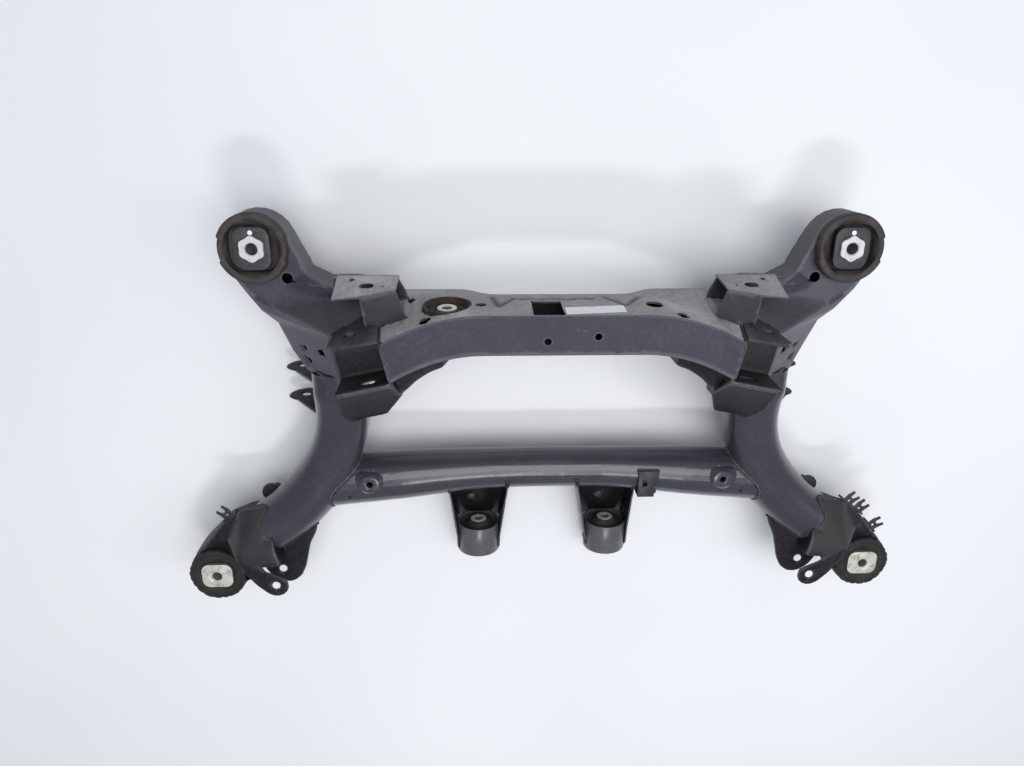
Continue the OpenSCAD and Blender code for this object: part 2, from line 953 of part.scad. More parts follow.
module diff_bracket(inner_spread, outer_spread, hole_shift) {
    web_low = [diff_front_y - 6, 0];
    web_high = [rear_tube_y - 18, 64];
    color(gloss_colour)
        difference() {
            union() {
                for (flange = [[-1, inner_spread], [1, outer_spread]])
                    flange_frame(flange[0], flange[1])
                        rotate([90, 0, 90])
                            linear_extrude(sheet_t)
                                polygon([
                                    [-20, diff_z - 14],
                                    [-20, diff_z + 12],
                                    [22, diff_z + 26],
                                    [90, 92],
                                    [112, 106],
                                    [150, 112],
                                    [150, 62],
                                    [128, 62],
                                    [20, 0],
                                    [10, 4]
                                ]);
                difference() {
                    translate([diff_x - far / 2, 0, 0])
                        rotate([90, 0, 90])
                            linear_extrude(far)
                                polygon([
                                    web_low,
                                    web_high,
                                    web_high + [0, sheet_t],
                                    web_low + [0, sheet_t]
                                ]);
                    for (flange = [[-1, inner_spread], [1, outer_spread]])
                        flange_frame(flange[0], flange[1])
                            translate([flange[0] > 0 ? 0 : sheet_t - far, -far / 2, -over])
                                cube([far, far, far]);
                }
            }
            rear_form(0, 0);
            diff_axis()
                cylinder(r = diff_ring_r, h = diff_ring_l);
            translate([-far, rear_tube_y, rear_tube_z - far / 2])
                cube([2 * far, far, far]);
            for (along = [0.2, 0.55])
                translate([diff_x + hole_shift, lerp(web_high.x, web_low.x, along), 0])
                    cylinder(r = 5, h = far);
        }
}

module diff_axis() {
    translate([diff_x, diff_y + diff_ring_l / 2, diff_z])
        rotate([90, 0, 0])
            children();
}

diff_core_r = 13;
diff_core_proud = 4;

module diff_ring() {
    color(gloss_colour)
        diff_axis()
            tube_ring(diff_ring_r, diff_ring_r - sheet_t, diff_ring_l);
}

module diff_rubber() {
    recess = 5;
    color(rubber_colour)
        diff_axis()
            translate([0, 0, recess])
                tube_ring(diff_ring_r - sheet_t, diff_core_r, diff_ring_l - 2 * recess);
}

module diff_core() {
    color(alloy_colour)
        diff_axis()
            translate([0, 0, -diff_core_proud])
                tube_ring(diff_core_r, diff_bolt_r, diff_ring_l + 2 * diff_core_proud);
}

nose_core_r = 12.7;
nose_recess = 12;

module nose_sleeve() {
    color(rubber_colour)
        nose_frame()
            translate([0, 0, -nose_l])
                tube_ring(nose_r, nose_r - sheet_t, nose_l + 1);
}

module nose_rubber() {
    color(rubber_colour)
        nose_frame()
            translate([0, 0, -nose_l])
                tube_ring(nose_r - sheet_t, nose_core_r, nose_l - nose_recess);
}

module nose_core() {
    color(alloy_colour)
        nose_frame()
            translate([0, 0, -nose_l])
                tube_ring(nose_core_r, diff_bolt_r, nose_l - nose_recess + 4);
}

// Body bushes

sleeve_wall = 2.5;
front_sleeve_back = 5;
front_ring_r = 45.5;
front_ring_h = 14;
front_core_r = 15;
front_head_r = 17;
front_head_h = 7;
stop_w = 47;
stop_d = 56;
stop_t = 5;
front_rubber_z = arm_tip_back_z - sheet_t;
front_ring_z = front_face_z + 1;

module front_axis() {
    translate([eye.x, eye.y, 0])
        children();
}

module front_sleeve() {
    color(plated_colour)
        front_axis()
            translate([0, 0, front_rubber_z - front_sleeve_back])
                tube_ring(front_bore_r, front_bore_r - sleeve_wall,
                    front_ring_z - front_rubber_z + front_sleeve_back);
}

module front_rubber() {
    inner = front_bore_r - sleeve_wall;
    top = front_ring_z + front_ring_h;
    color(rubber_colour)
        front_axis()
            rotate_extrude()
                polygon([
                    [front_core_r, front_rubber_z],
                    [inner, front_rubber_z],
                    [inner, front_ring_z],
                    [front_ring_r, front_ring_z],
                    [front_ring_r, top - 2],
                    [front_ring_r - 2, top],
                    [inner - 4, top],
                    [inner - 7, front_ring_z - 2],
                    [front_core_r, front_ring_z - 6]
                ]);
}

stop_z = front_ring_z + front_ring_h - stop_t - 2;

module front_stop_plate() {
    color(plated_colour)
        front_axis()
            difference() {
                translate([0, 0, stop_z])
                    rounded_plate(stop_w, stop_d, 14, stop_t);
                cylinder(r = front_core_r, h = far);
                translate([0, stop_d / 2 - 7, 0])
                    cylinder(r = 2.5, h = far);
            }
}

module front_core() {
    from = front_rubber_z - front_sleeve_back - 4;
    color(alloy_colour)
        front_axis()
            difference() {
                union() {
                    translate([0, 0, from])
                        cylinder(r = front_core_r, h = stop_z + stop_t - from);
                    translate([0, 0, stop_z + stop_t])
                        for (turn = [0, 60, 120])
                            rotate(turn)
                                translate([-front_head_r, -front_head_r / 2, 0])
                                    cube([2 * front_head_r, front_head_r, front_head_h - stop_t]);
                }
                translate([0, 0, from - over])
                    cylinder(r = front_bolt_r, h = far);
            }
}

rear_core_w = 47;
rear_core_d = 40;
rear_core_r = 16;
rear_collar_r = 42;
rear_collar_h = 8;
scallops = 18;
rear_sleeve_back = 5;
rear_collar_z = rear_face_z + 1;

module rear_axis() {
    translate([corner_eye.x, corner_eye.y, 0])
        children();
}

module rear_sleeve() {
    color(plated_colour)
        rear_axis()
            translate([0, 0, corner_back_z - rear_sleeve_back])
                tube_ring(rear_bore_r, rear_bore_r - sleeve_wall,
                    rear_collar_z - corner_back_z + rear_sleeve_back);
}

module rear_rubber() {
    color(rubber_colour)
        rear_axis()
            difference() {
                union() {
                    translate([0, 0, corner_back_z])
                        cylinder(r = rear_bore_r - sleeve_wall, h = rear_collar_z - corner_back_z);
                    translate([0, 0, rear_collar_z])
                        cylinder(r = rear_collar_r, h = rear_collar_h);
                }
                cylinder(r = rear_core_r, h = far);
                translate([0, 0, rear_collar_z])
                    rounded_plate(rear_core_w, rear_core_d, 12, far);
                for (i = [0 : scallops - 1])
                    rotate(360 * i / scallops)
                        translate([rear_collar_r + 1, 0, rear_collar_z - over])
                            cylinder(r = 2.5, h = far);
            }
}

module rear_core() {
    from = corner_back_z - rear_sleeve_back - 4;
    color(alloy_colour)
        rear_axis()
            difference() {
                union() {
                    translate([0, 0, from])
                        cylinder(r = rear_core_r, h = rear_collar_z - from);
                    translate([0, 0, rear_collar_z])
                        rounded_plate(rear_core_w, rear_core_d, 12, rear_collar_h + 2);
                }
                translate([0, 0, from - over])
                    cylinder(r = rear_bolt_r, h = far);
            }
}

// Brackets and clips

ears_gap = 44;
ears_mid_y = 28.5;
ears_bolt = [376, 27];
ears_r = 27;
ears_web_x = 346;
ears_web_top = 70;
ears_root_top = 108;
ears_root_x = side_x + side_front_w - 20;

// U-shaped bracket for the upper link, with its ears' roots on the side tube
module upper_link_ears() {
    outer = ears_gap + 2 * plate_t;
    color(sheet_colour)
        difference() {
            translate([0, ears_mid_y + outer / 2, 0])
                rotate([90, 0, 0])
                    union() {
                        translate(ears_bolt)
                            cylinder(r = ears_r, h = outer);
                        linear_extrude(outer)
                            polygon([
                                [ears_root_x, ears_root_top],
                                [ears_web_x, ears_root_top],
                                [392, 42],
                                [366, 8],
                                [ears_web_x, 16],
                                [ears_root_x, 50]
                            ]);
                    }
            translate([ears_web_x + plate_t, ears_mid_y - ears_gap / 2, -over])
                cube([far, ears_gap, far]);
            translate([ears_web_x - far, ears_mid_y - ears_gap / 2, -over])
                cube([far, ears_gap, far]);
            translate([0, ears_mid_y - ears_gap / 2, ears_web_top])
                cube([far, ears_gap, far]);
            translate([ears_bolt.x, far / 2, ears_bolt.y])
                rotate([90, 0, 0])
                    cylinder(r = clevis_bolt_r, h = far);
            side_form(0, 0);
        }
}

// Point at an angle round the side tubes' bend, towards the bend's centre by the given distance
function in_bend(a, off) = [
    side_x + side_bend_r - (side_bend_r - off) * cos(a),
    side_bend_y - (side_bend_r - off) * sin(a)
];
// The bracket keeps its place along the frame, ahead of the corner, whatever the bend
bracket_tip_y = -148.85;
bracket_tip_off = 38;
bracket_tip_r = 15;
bracket_z = 60;
bracket_a = asin((side_bend_y - bracket_tip_y) / (side_bend_r - bracket_tip_off));
bracket_tip = in_bend(bracket_a, bracket_tip_off);
bracket_root = [
    in_bend(bracket_a - 5.2, 29.6),
    in_bend(bracket_a - 4.1, 45),
    in_bend(bracket_a + 1.2, 45.6),
    in_bend(bracket_a + 1.8, 35.2)
];

// Small tab on the outside of the side tube
module tube_bracket() {
    color(sheet_colour)
        difference() {
            translate([0, 0, bracket_z])
                union() {
                    translate(bracket_tip)
                        cylinder(r = bracket_tip_r, h = plate_t);
                    linear_extrude(plate_t)
                        polygon(bracket_root);
                }
            side_form(0, 0);
        }
}

clip_x = 156.5;
clip_w = 32;
clip_d = 44;
clip_h = 10;
clip_hole_r = 4;

module tube_clip() {
    t = sheet_t;
    color(sheet_colour)
        difference() {
            translate([clip_x - clip_w / 2, rear_y(clip_x) - clip_d / 2 - 10, rear_tube_z])
                difference() {
                    cube([clip_w, clip_d, rear_mid_r + clip_h]);
                    translate([-over, t, -over])
                        cube([clip_w + 2 * over, clip_d - 2 * t, rear_mid_r + clip_h - t + over]);
                    translate([clip_w / 3, clip_d / 2, 0])
                        cylinder(r = clip_hole_r, h = far);
                    translate([clip_w - 2 * t, -over, rear_mid_r + clip_h - 4 * t])
                        cube([far, clip_d / 2, far]);
                }
            rear_form(0, 0);
        }
}

clip_plate_w = 26;
clip_plate_h = 13;
cable_hole_r = 2.6;
// One fork of a cable clip, seen from the road side, with its root on the wall
fork_outline = [
    [-8, 0], [8, 0], [8.5, 9], [11, 19], [8, 21], [4.5, 13],
    [1, 11], [-2.5, 13], [-1.5, 22], [-5, 23], [-8.5, 12]
];
fork_hole_y = 5.5;
fork_pitch = 23;

// Clip on the corner's side wall between two points of its rim: a plate with forked tongues
module cable_clip(p, q, forks) {
    mid = (p + q) / 2;
    plate_w = clip_plate_w + (forks - 1) * fork_pitch;
    color(sheet_colour)
        translate([mid.x, mid.y, corner_split_z + over])
            rotate(atan2(p.y - q.y, p.x - q.x))
                difference() {
                    union() {
                        translate([-plate_w / 2, 0, 0])
                            cube([plate_w, sheet_t, clip_plate_h]);
                        for (i = [0 : forks - 1])
                            translate([(i - (forks - 1) / 2) * fork_pitch, 0, clip_plate_h - sheet_t])
                                linear_extrude(sheet_t)
                                    polygon(fork_outline);
                    }
                    for (i = [0 : forks - 1])
                        translate([(i - (forks - 1) / 2) * fork_pitch, fork_hole_y, 0])
                            cylinder(r = cable_hole_r, h = 2 * clip_plate_h);
                }
}
module cable_clip_side(forks) {
    cable_clip(xy(corner_rim[c_end + 1]), xy(corner_rim[c_end + 2]), forks);
}
module cable_clip_corner() {
    cable_clip(xy(corner_rim[c_end]), xy(corner_rim[c_end + 1]), 1);
}

arm_shell();  // arm_shell_right
left_hand() arm_shell();  // arm_shell_left
arm_back_plate();  // arm_back_plate_right
left_hand() arm_back_plate();  // arm_back_plate_left
link_box();  // link_box_right
left_hand() link_box();  // link_box_left
link_plate();  // link_plate_right
left_hand() link_plate();  // link_plate_left
pocket_shell();  // pocket_shell_right
left_hand() pocket_shell();  // pocket_shell_left
gusset();  // gusset_right
left_hand() gusset();  // gusset_left
cross_member_top();
cross_member_front();
side_tube();  // side_tube_right
left_hand() side_tube();  // side_tube_left
rear_tube();
weld_boss();  // weld_boss_right
left_hand() weld_boss();  // weld_boss_left
corner_upper_shell();  // corner_upper_shell_right
left_hand() corner_upper_shell();  // corner_upper_shell_left
corner_lower_shell();  // corner_lower_shell_right
left_hand() corner_lower_shell();  // corner_lower_shell_left
diff_bracket(11, -2, -12);  // diff_bracket_right
left_hand() diff_bracket(5, 5, 11);  // diff_bracket_left
diff_ring();  // diff_ring_right
left_hand() diff_ring();  // diff_ring_left
diff_rubber();  // diff_rubber_right
left_hand() diff_rubber();  // diff_rubber_left
diff_core();  // diff_core_right
left_hand() diff_core();  // diff_core_left
nose_sleeve();
nose_rubber();
nose_core();
front_sleeve();  // front_sleeve_right
left_hand() front_sleeve();  // front_sleeve_left
front_rubber();  // front_rubber_right
left_hand() front_rubber();  // front_rubber_left
front_stop_plate();  // front_stop_plate_right
left_hand() front_stop_plate();  // front_stop_plate_left
front_core();  // front_core_right
left_hand() front_core();  // front_core_left
rear_sleeve();  // rear_sleeve_right
left_hand() rear_sleeve();  // rear_sleeve_left
rear_rubber();  // rear_rubber_right
left_hand() rear_rubber();  // rear_rubber_left
rear_core();  // rear_core_right
left_hand() rear_core();  // rear_core_left
upper_link_ears();  // upper_link_ears_right
left_hand() upper_link_ears();  // upper_link_ears_left
tube_bracket();  // tube_bracket_right
left_hand() tube_bracket();  // tube_bracket_left
tube_clip();
left_hand() cable_clip_side(1);  // cable_clip_left
cable_clip_side(2);  // cable_clip_right
cable_clip_corner();
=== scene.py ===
"""Dresses a rear axle subframe: painted pressings and tubes, rubber bushes, weld beads and a pale studio."""
import logging
import math
from dataclasses import dataclass
from enum import Enum
from typing import Any, Callable, Optional, Sequence, Union

import bmesh
import bpy
import numpy as np
from bmesh.types import BMesh
from bpy.types import Material, Mesh, Node, NodeSocket, NodeTree, Object
from mathutils import Matrix, Vector
from mathutils.bvhtree import BVHTree


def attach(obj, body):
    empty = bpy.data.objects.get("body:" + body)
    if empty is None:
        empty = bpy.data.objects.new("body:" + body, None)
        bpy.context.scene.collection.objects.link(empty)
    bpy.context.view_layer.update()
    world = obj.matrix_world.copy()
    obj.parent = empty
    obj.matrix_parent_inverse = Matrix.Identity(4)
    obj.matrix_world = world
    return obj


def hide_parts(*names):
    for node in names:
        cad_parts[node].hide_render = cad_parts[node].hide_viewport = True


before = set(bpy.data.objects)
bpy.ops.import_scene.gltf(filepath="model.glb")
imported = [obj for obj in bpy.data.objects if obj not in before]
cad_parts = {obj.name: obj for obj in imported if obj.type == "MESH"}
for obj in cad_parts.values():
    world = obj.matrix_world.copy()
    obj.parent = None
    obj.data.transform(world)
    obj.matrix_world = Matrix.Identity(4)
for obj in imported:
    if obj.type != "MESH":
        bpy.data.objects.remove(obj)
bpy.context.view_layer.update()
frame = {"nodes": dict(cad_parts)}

MM = 0.001
BODY = "root"
SIDES = ("right", "left")
LYING_DEG = 90.0
Colour = tuple[float, float, float]
Point = tuple[float, float, float]
Amount = Union["Wire", float]
Settings = Optional[dict[str, Any]]
Inputs = Optional[dict[Union[str, int], Any]]

log = logging.getLogger("subframe")


def linked(name: str, data: Any) -> Object:
    """A new object in the scene.

    Args:
        name: the object's name.
        data: its mesh, lamp or camera.

    Returns:
        The object.
    """
    made = bpy.data.objects.new(name, data)
    bpy.context.scene.collection.objects.link(made)
    return made


class Wire:
    """One value in a node tree, whose arithmetic adds Math nodes to the tree."""

    def __init__(self, owner: "Circuit", socket: NodeSocket) -> None:
        """Wraps an output socket of its owner's tree."""
        self.owner = owner
        self.socket = socket

    def maths(self, operation: str, *values: Amount) -> "Wire":
        """Adds one Math node, with the values of its sockets in order, and gives its result."""
        return self.owner.step("ShaderNodeMath", {"operation": operation}, dict(enumerate(values)))

    def __add__(self, other: Amount) -> "Wire":
        """Sum."""
        return self.maths("ADD", self, other)

    def __sub__(self, other: Amount) -> "Wire":
        """Difference."""
        return self.maths("SUBTRACT", self, other)

    def __rsub__(self, other: float) -> "Wire":
        """Reflected difference."""
        return self.maths("SUBTRACT", other, self)

    def __mul__(self, other: Amount) -> "Wire":
        """Product."""
        return self.maths("MULTIPLY", self, other)

    def __truediv__(self, other: Amount) -> "Wire":
        """Quotient."""
        return self.maths("DIVIDE", self, other)

    __radd__ = __add__
    __rmul__ = __mul__

    def sine(self) -> "Wire":
        """Sine of the value in radians."""
        return self.maths("SINE", self)

    def limited(self) -> "Wire":
        """The value held between 0 and 1."""
        return self.maths("MINIMUM", self.maths("MAXIMUM", self, 0.0), 1.0)

    def between(self, low: float, high: float) -> "Wire":
        """A smooth step of the value, from 0 at the first bound to 1 at the second."""
        return self.owner.step("ShaderNodeMapRange", {"interpolation_type": "SMOOTHSTEP"},
                               {"Value": self, "From Min": low, "From Max": high})


class Circuit:
    """A node tree under construction."""

    def __init__(self, tree: NodeTree) -> None:
        """Keeps the tree."""
        self.tree = tree

    def node(self, kind: str, settings: Settings = None, inputs: Inputs = None) -> Node:
        """Adds any node.

        Args:
            kind: the node's type.
            settings: its own properties, which are set first.
            inputs: values of its sockets, by name or number.

        Returns:
            The new node.
        """
        made = self.tree.nodes.new(kind)
        for key, value in (settings or {}).items():
            setattr(made, key, value)
        for key, value in (inputs or {}).items():
            self.feed(made.inputs[key], value)
        return made

    def step(self, kind: str, settings: Settings = None, inputs: Inputs = None,
             output: Union[str, int] = 0) -> Wire:
        """Adds any node and gives one of its outputs, by name or number."""
        return Wire(self, self.node(kind, settings, inputs).outputs[output])

    def feed(self, socket: NodeSocket, value: Any) -> None:
        """Links or sets one input socket.

        Args:
            socket: the input.
            value: a Wire, which is linked, or a number, a vector or a colour.
        """
        if isinstance(value, Wire):
            self.tree.links.new(value.socket, socket)
        elif socket.type == "RGBA" and len(value) == 3:
            socket.default_value = (*value, 1.0)
        else:
            socket.default_value = value


class Shader(Circuit):
    """A material under construction, with one principled surface."""

    def __init__(self, name: str) -> None:
        """Makes an empty material.

        Args:
            name: the material's name.
        """
        self.material = bpy.data.materials.new(name)
        self.material.use_nodes = True
        super().__init__(self.material.node_tree)
        self.tree.nodes.clear()
        self.surface = self.node("ShaderNodeBsdfPrincipled")
        self.node("ShaderNodeOutputMaterial", None, {"Surface": Wire(self, self.surface.outputs[0])})
        self.place = self.step("ShaderNodeTexCoord", output="Object")

    def set(self, **values: Any) -> None:
        """Feeds the principled surface: base_color goes to Base Color, and so on.

        Args:
            values: the values, by socket name in small letters with underscores.
        """
        names = {s.name.lower().replace(" ", "_"): s for s in self.surface.inputs}
        for key, value in values.items():
            self.feed(names[key], value)

    def noise(self, size_mm: float, detail: float = 2.0, distortion: float = 0.0) -> Wire:
        """Cloudy noise from 0 to 1, with patches of about one size and octaves of finer detail."""
        return self.step("ShaderNodeTexNoise", {"noise_dimensions": "3D"},
                         {"Vector": self.place, "Scale": 1.0 / (size_mm * MM), "Detail": detail,
                          "Distortion": distortion})

    def cells(self, size_mm: float) -> Wire:
        """Distance to the nearest of scattered points, for specks."""
        return self.step("ShaderNodeTexVoronoi", {"feature": "F1"},
                         {"Vector": self.place, "Scale": 1.0 / (size_mm * MM)}, "Distance")

    def facing(self, direction: Point) -> Wire:
        """Cosine of the angle between the surface's normal and a direction in the part's frame."""
        normal = self.step("ShaderNodeNewGeometry", output="Normal")
        return self.step("ShaderNodeVectorMath", {"operation": "DOT_PRODUCT"},
                         {0: normal, 1: tuple(Vector(direction).normalized())}, "Value")

    def attribute(self, name: str) -> Wire:
        """A value stored on the mesh."""
        return self.step("ShaderNodeAttribute", {"attribute_name": name}, None, "Fac")

    def mixed(self, share: Amount, first: Any, second: Any) -> Wire:
        """Colour between two colours: the first at share 0, the second at share 1."""
        return self.step("ShaderNodeMix", {"data_type": "RGBA"}, {0: share, 6: first, 7: second}, 2)

    def bump(self, height: Wire, depth_mm: float) -> None:
        """Feeds the surface's normal from a height, which is a share of the relief's depth."""
        self.set(normal=self.step("ShaderNodeBump", None, {"Height": height, "Distance": depth_mm * MM,
                                                           "Strength": 1.0}))


@dataclass(frozen=True)
class PaintFinish:
    """Black dip coat on steel, with road dust and painted light on the faces that look forward."""

    name: str
    slot: str
    colour: Colour
    wear_and_shade: Colour = (0.075, 0.075, 0.082)
    # The dust colour also stands for painted light on faces that look forward.
    dust: Colour = (0.105, 0.090, 0.082)
    bare_and_highlight: Colour = (0.20, 0.20, 0.215)
    bare_and_highlight_amount: float = 0.35
    dust_and_light_amount: float = 0.5
    roughness: float = 0.4
    coat: float = 0.0
    shine: float = 0.42
    mottle: float = 0.5
    peel_mm: float = 0.06

    def make(self) -> Material:
        """Builds the material."""
        s = Shader(self.name)
        cloud = s.noise(70, 3.0, 0.6)
        grain = s.noise(6, 3.0)
        fine = s.noise(1.6, 2.0)
        specks = s.cells(9).between(0.075, 0.03) * s.noise(40).between(0.5, 0.62)
        # Faces that look forward take the dust colour: real dust and painted light where the light falls.
        forward = s.facing((0.0, 1.0, 0.12)).between(0.25, 0.95)
        settled_and_lit = (forward * (0.45 + 0.8 * cloud) + cloud.between(0.56, 0.78) * 0.35) * self.dust_and_light_amount
        dusty_and_lit = (settled_and_lit * (0.55 + 0.9 * grain)).limited()
        # Rim edges lighten: edge wear and painted highlight.
        edge = (s.attribute("rim") * (0.35 + 0.9 * grain)).limited()
        # Grooves darken: painted shade in the grooves.
        pressed = (s.attribute("rim") * -0.75).limited()
        base = s.mixed((cloud * grain).between(0.12, 0.5) * self.mottle, self.colour, self.wear_and_shade)
        base = s.mixed(dusty_and_lit, base, self.dust)
        base = s.mixed(edge * self.bare_and_highlight_amount, base, self.bare_and_highlight)
        base = s.mixed(pressed, base, self.wear_and_shade)
        base = s.mixed(specks * 0.5, base, self.dust)
        s.set(base_color=base, coat_roughness=0.28, specular_ior_level=self.shine,
              roughness=(self.roughness + 0.18 * (grain - 0.5) + 0.45 * dusty_and_lit).limited(),
              coat_weight=(self.coat * (1.0 - dusty_and_lit)).limited())
        s.bump(fine * 0.6 + grain * 0.5 + cloud * 2.5, self.peel_mm)
        return s.material


@dataclass(frozen=True)
class RubberFinish:
    """Moulded bush rubber with a brownish bloom."""

    name: str
    slot: str
    colour: Colour
    bloom: Colour
    bloom_amount: float = 0.6

    def make(self) -> Material:
        """Builds the material."""
        s = Shader(self.name)
        cloud = s.noise(18, 3.0, 0.4)
        grain = s.noise(1.2, 3.0)
        bloom = (cloud.between(0.35, 0.72) * (0.4 + grain) * self.bloom_amount).limited()
        s.set(base_color=s.mixed(bloom, self.colour, self.bloom), specular_ior_level=0.35,
              roughness=(0.62 + 0.25 * bloom).limited())
        s.bump(grain + 0.8 * cloud, 0.12)
        return s.material


@dataclass(frozen=True)
class AlloyFinish:
    """Cast aluminium core with dull skin, grime in patches and painted shade on the faces that turn side-on
    to its axis.
    """

    name: str
    slot: str
    colour: Colour
    grime: Colour
    grime_amount: float = 0.4
    metallic: float = 0.55
    axis: Point = (0.0, 0.0, 1.0)
    painted_side_shade: Colour = (0.06, 0.058, 0.058)

    def make(self) -> Material:
        """Builds the material."""
        s = Shader(self.name)
        cloud = s.noise(9, 4.0, 0.5)
        grain = s.noise(0.9, 2.0)
        grime = (cloud.between(0.48, 0.74) * self.grime_amount + grain.between(0.62, 0.8) * 0.15).limited()
        # Faces side-on to the axis darken: painted shade on the bore walls and the sides.
        along = s.facing(self.axis)
        painted_side_shade = (along * along).between(0.5, 0.1)
        base = s.mixed(grime, self.colour, self.grime)
        s.set(base_color=s.mixed(painted_side_shade * 0.75, base, self.painted_side_shade), roughness=(0.42 + 0.3 * grime).limited(),
              metallic=(self.metallic * (1.0 - grime)).limited())
        s.bump(grain, 0.08)
        return s.material


@dataclass(frozen=True)
class StickerFinish:
    """Plain white label film, slightly soiled at random."""

    name: str
    slot: str
    colour: Colour = (0.78, 0.79, 0.8)
    soil: Colour = (0.42, 0.4, 0.38)

    def make(self) -> Material:
        """Builds the material."""
        s = Shader(self.name)
        soil = s.noise(16, 4.0, 0.8).between(0.55, 0.8) * 0.55
        s.set(base_color=s.mixed(soil, self.colour, self.soil), roughness=0.36 + 0.25 * soil)
        s.bump(s.noise(11), 0.1)
        return s.material


@dataclass(frozen=True)
class FloorFinish:
    """Pale matt studio floor."""

    name: str = "studio_floor"
    colour: Colour = (0.82, 0.83, 0.85)
    shade: Colour = (0.78, 0.79, 0.815)

    def make(self) -> Material:
        """Builds the material."""
        s = Shader(self.name)
        s.set(base_color=s.mixed(s.noise(700, 2.0).between(0.3, 0.7), self.colour, self.shade), roughness=0.7,
              specular_ior_level=0.2)
        return s.material


class Finishes(Enum):
    """The finishes of the part, each with the record slot that it stands for."""

    SHEET = PaintFinish("sheet_dip_coat", "sheet_paint", (0.035, 0.0335, 0.048), wear_and_shade=(0.078, 0.074, 0.096),
                        dust=(0.085, 0.074, 0.080), dust_and_light_amount=0.45, roughness=0.38)
    WALL = PaintFinish("front_wall_dip_coat", "sheet_paint", (0.034, 0.0342, 0.048),
                       wear_and_shade=(0.078, 0.079, 0.102), dust=(0.085, 0.078, 0.084), dust_and_light_amount=0.4,
                       roughness=0.52, shine=0.22)
    # The top face's pale dust colour is dust and painted light: it lightens the face that looks forward.
    FACE = PaintFinish("top_face_dip_coat", "sheet_paint", (0.017, 0.0155, 0.020), wear_and_shade=(0.046, 0.042, 0.050),
                       dust=(0.420, 0.398, 0.402), dust_and_light_amount=0.85, roughness=0.48, shine=0.25)
    DARK = PaintFinish("dark_dip_coat", "sheet_paint", (0.0105, 0.0078, 0.0112), wear_and_shade=(0.036, 0.029, 0.037),
                       dust=(0.052, 0.041, 0.045), dust_and_light_amount=0.4, roughness=0.42, shine=0.24)
    TUBE = PaintFinish("tube_dip_coat", "tube_paint", (0.033, 0.0305, 0.042), wear_and_shade=(0.062, 0.060, 0.079),
                       dust=(0.090, 0.082, 0.088), bare_and_highlight=(0.11, 0.11, 0.125), dust_and_light_amount=0.06,
                       roughness=0.30, coat=0.7, shine=0.25, mottle=0.4, peel_mm=0.004)
    GLOSS = PaintFinish("bracket_gloss_coat", "gloss_paint", (0.0068, 0.0066, 0.0085),
                        wear_and_shade=(0.03, 0.03, 0.033), dust_and_light_amount=0.1, roughness=0.34, coat=0.25, mottle=0.15,
                        peel_mm=0.03)
    RING = PaintFinish("bush_ring_coat", "gloss_paint", (0.075, 0.069, 0.073), wear_and_shade=(0.12, 0.11, 0.11),
                       dust=(0.12, 0.105, 0.098), dust_and_light_amount=0.3, roughness=0.30, coat=0.2)
    STEEL = PaintFinish("bush_steel_coat", "bush_steel", (0.024, 0.0225, 0.026), dust_and_light_amount=0.3,
                        roughness=0.48, shine=0.25)
    RUBBER = RubberFinish("bush_rubber_moulded", "bush_rubber", (0.034, 0.028, 0.029), (0.085, 0.070, 0.071))
    REAR_RUBBER = RubberFinish("rear_rubber_black", "bush_rubber", (0.014, 0.0125, 0.0125),
                               (0.035, 0.030, 0.028))
    NOSE_RUBBER = RubberFinish("nose_rubber_brown", "bush_rubber", (0.017, 0.010, 0.009),
                               (0.085, 0.056, 0.048))
    CORE = AlloyFinish("star_core_alloy", "core_alloy", (0.56, 0.565, 0.58), (0.28, 0.27, 0.27), metallic=0.1)
    DIFF_CORE = AlloyFinish("diff_core_alloy", "core_alloy", (0.62, 0.60, 0.56), (0.24, 0.22, 0.20),
                            metallic=0.2, axis=(0.0, 1.0, 0.0))
    REAR_CORE = AlloyFinish("rear_core_cast", "rear_core_alloy", (0.58, 0.56, 0.51), (0.17, 0.145, 0.12),
                            grime_amount=0.75, metallic=0.2)
    LABEL = StickerFinish("label_film", "sheet_paint")


class Paints:
    """The materials of the scene, each built once."""

    def __init__(self) -> None:
        """Builds every finish."""
        self.materials = {finish: finish.value.make() for finish in Finishes}

    def apply(self, piece: Object, finish: Finishes) -> None:
        """Gives a piece one finish.

        Args:
            piece: the object.
            finish: the finish.
        """
        piece.data.materials.clear()
        piece.data.materials.append(self.materials[finish])


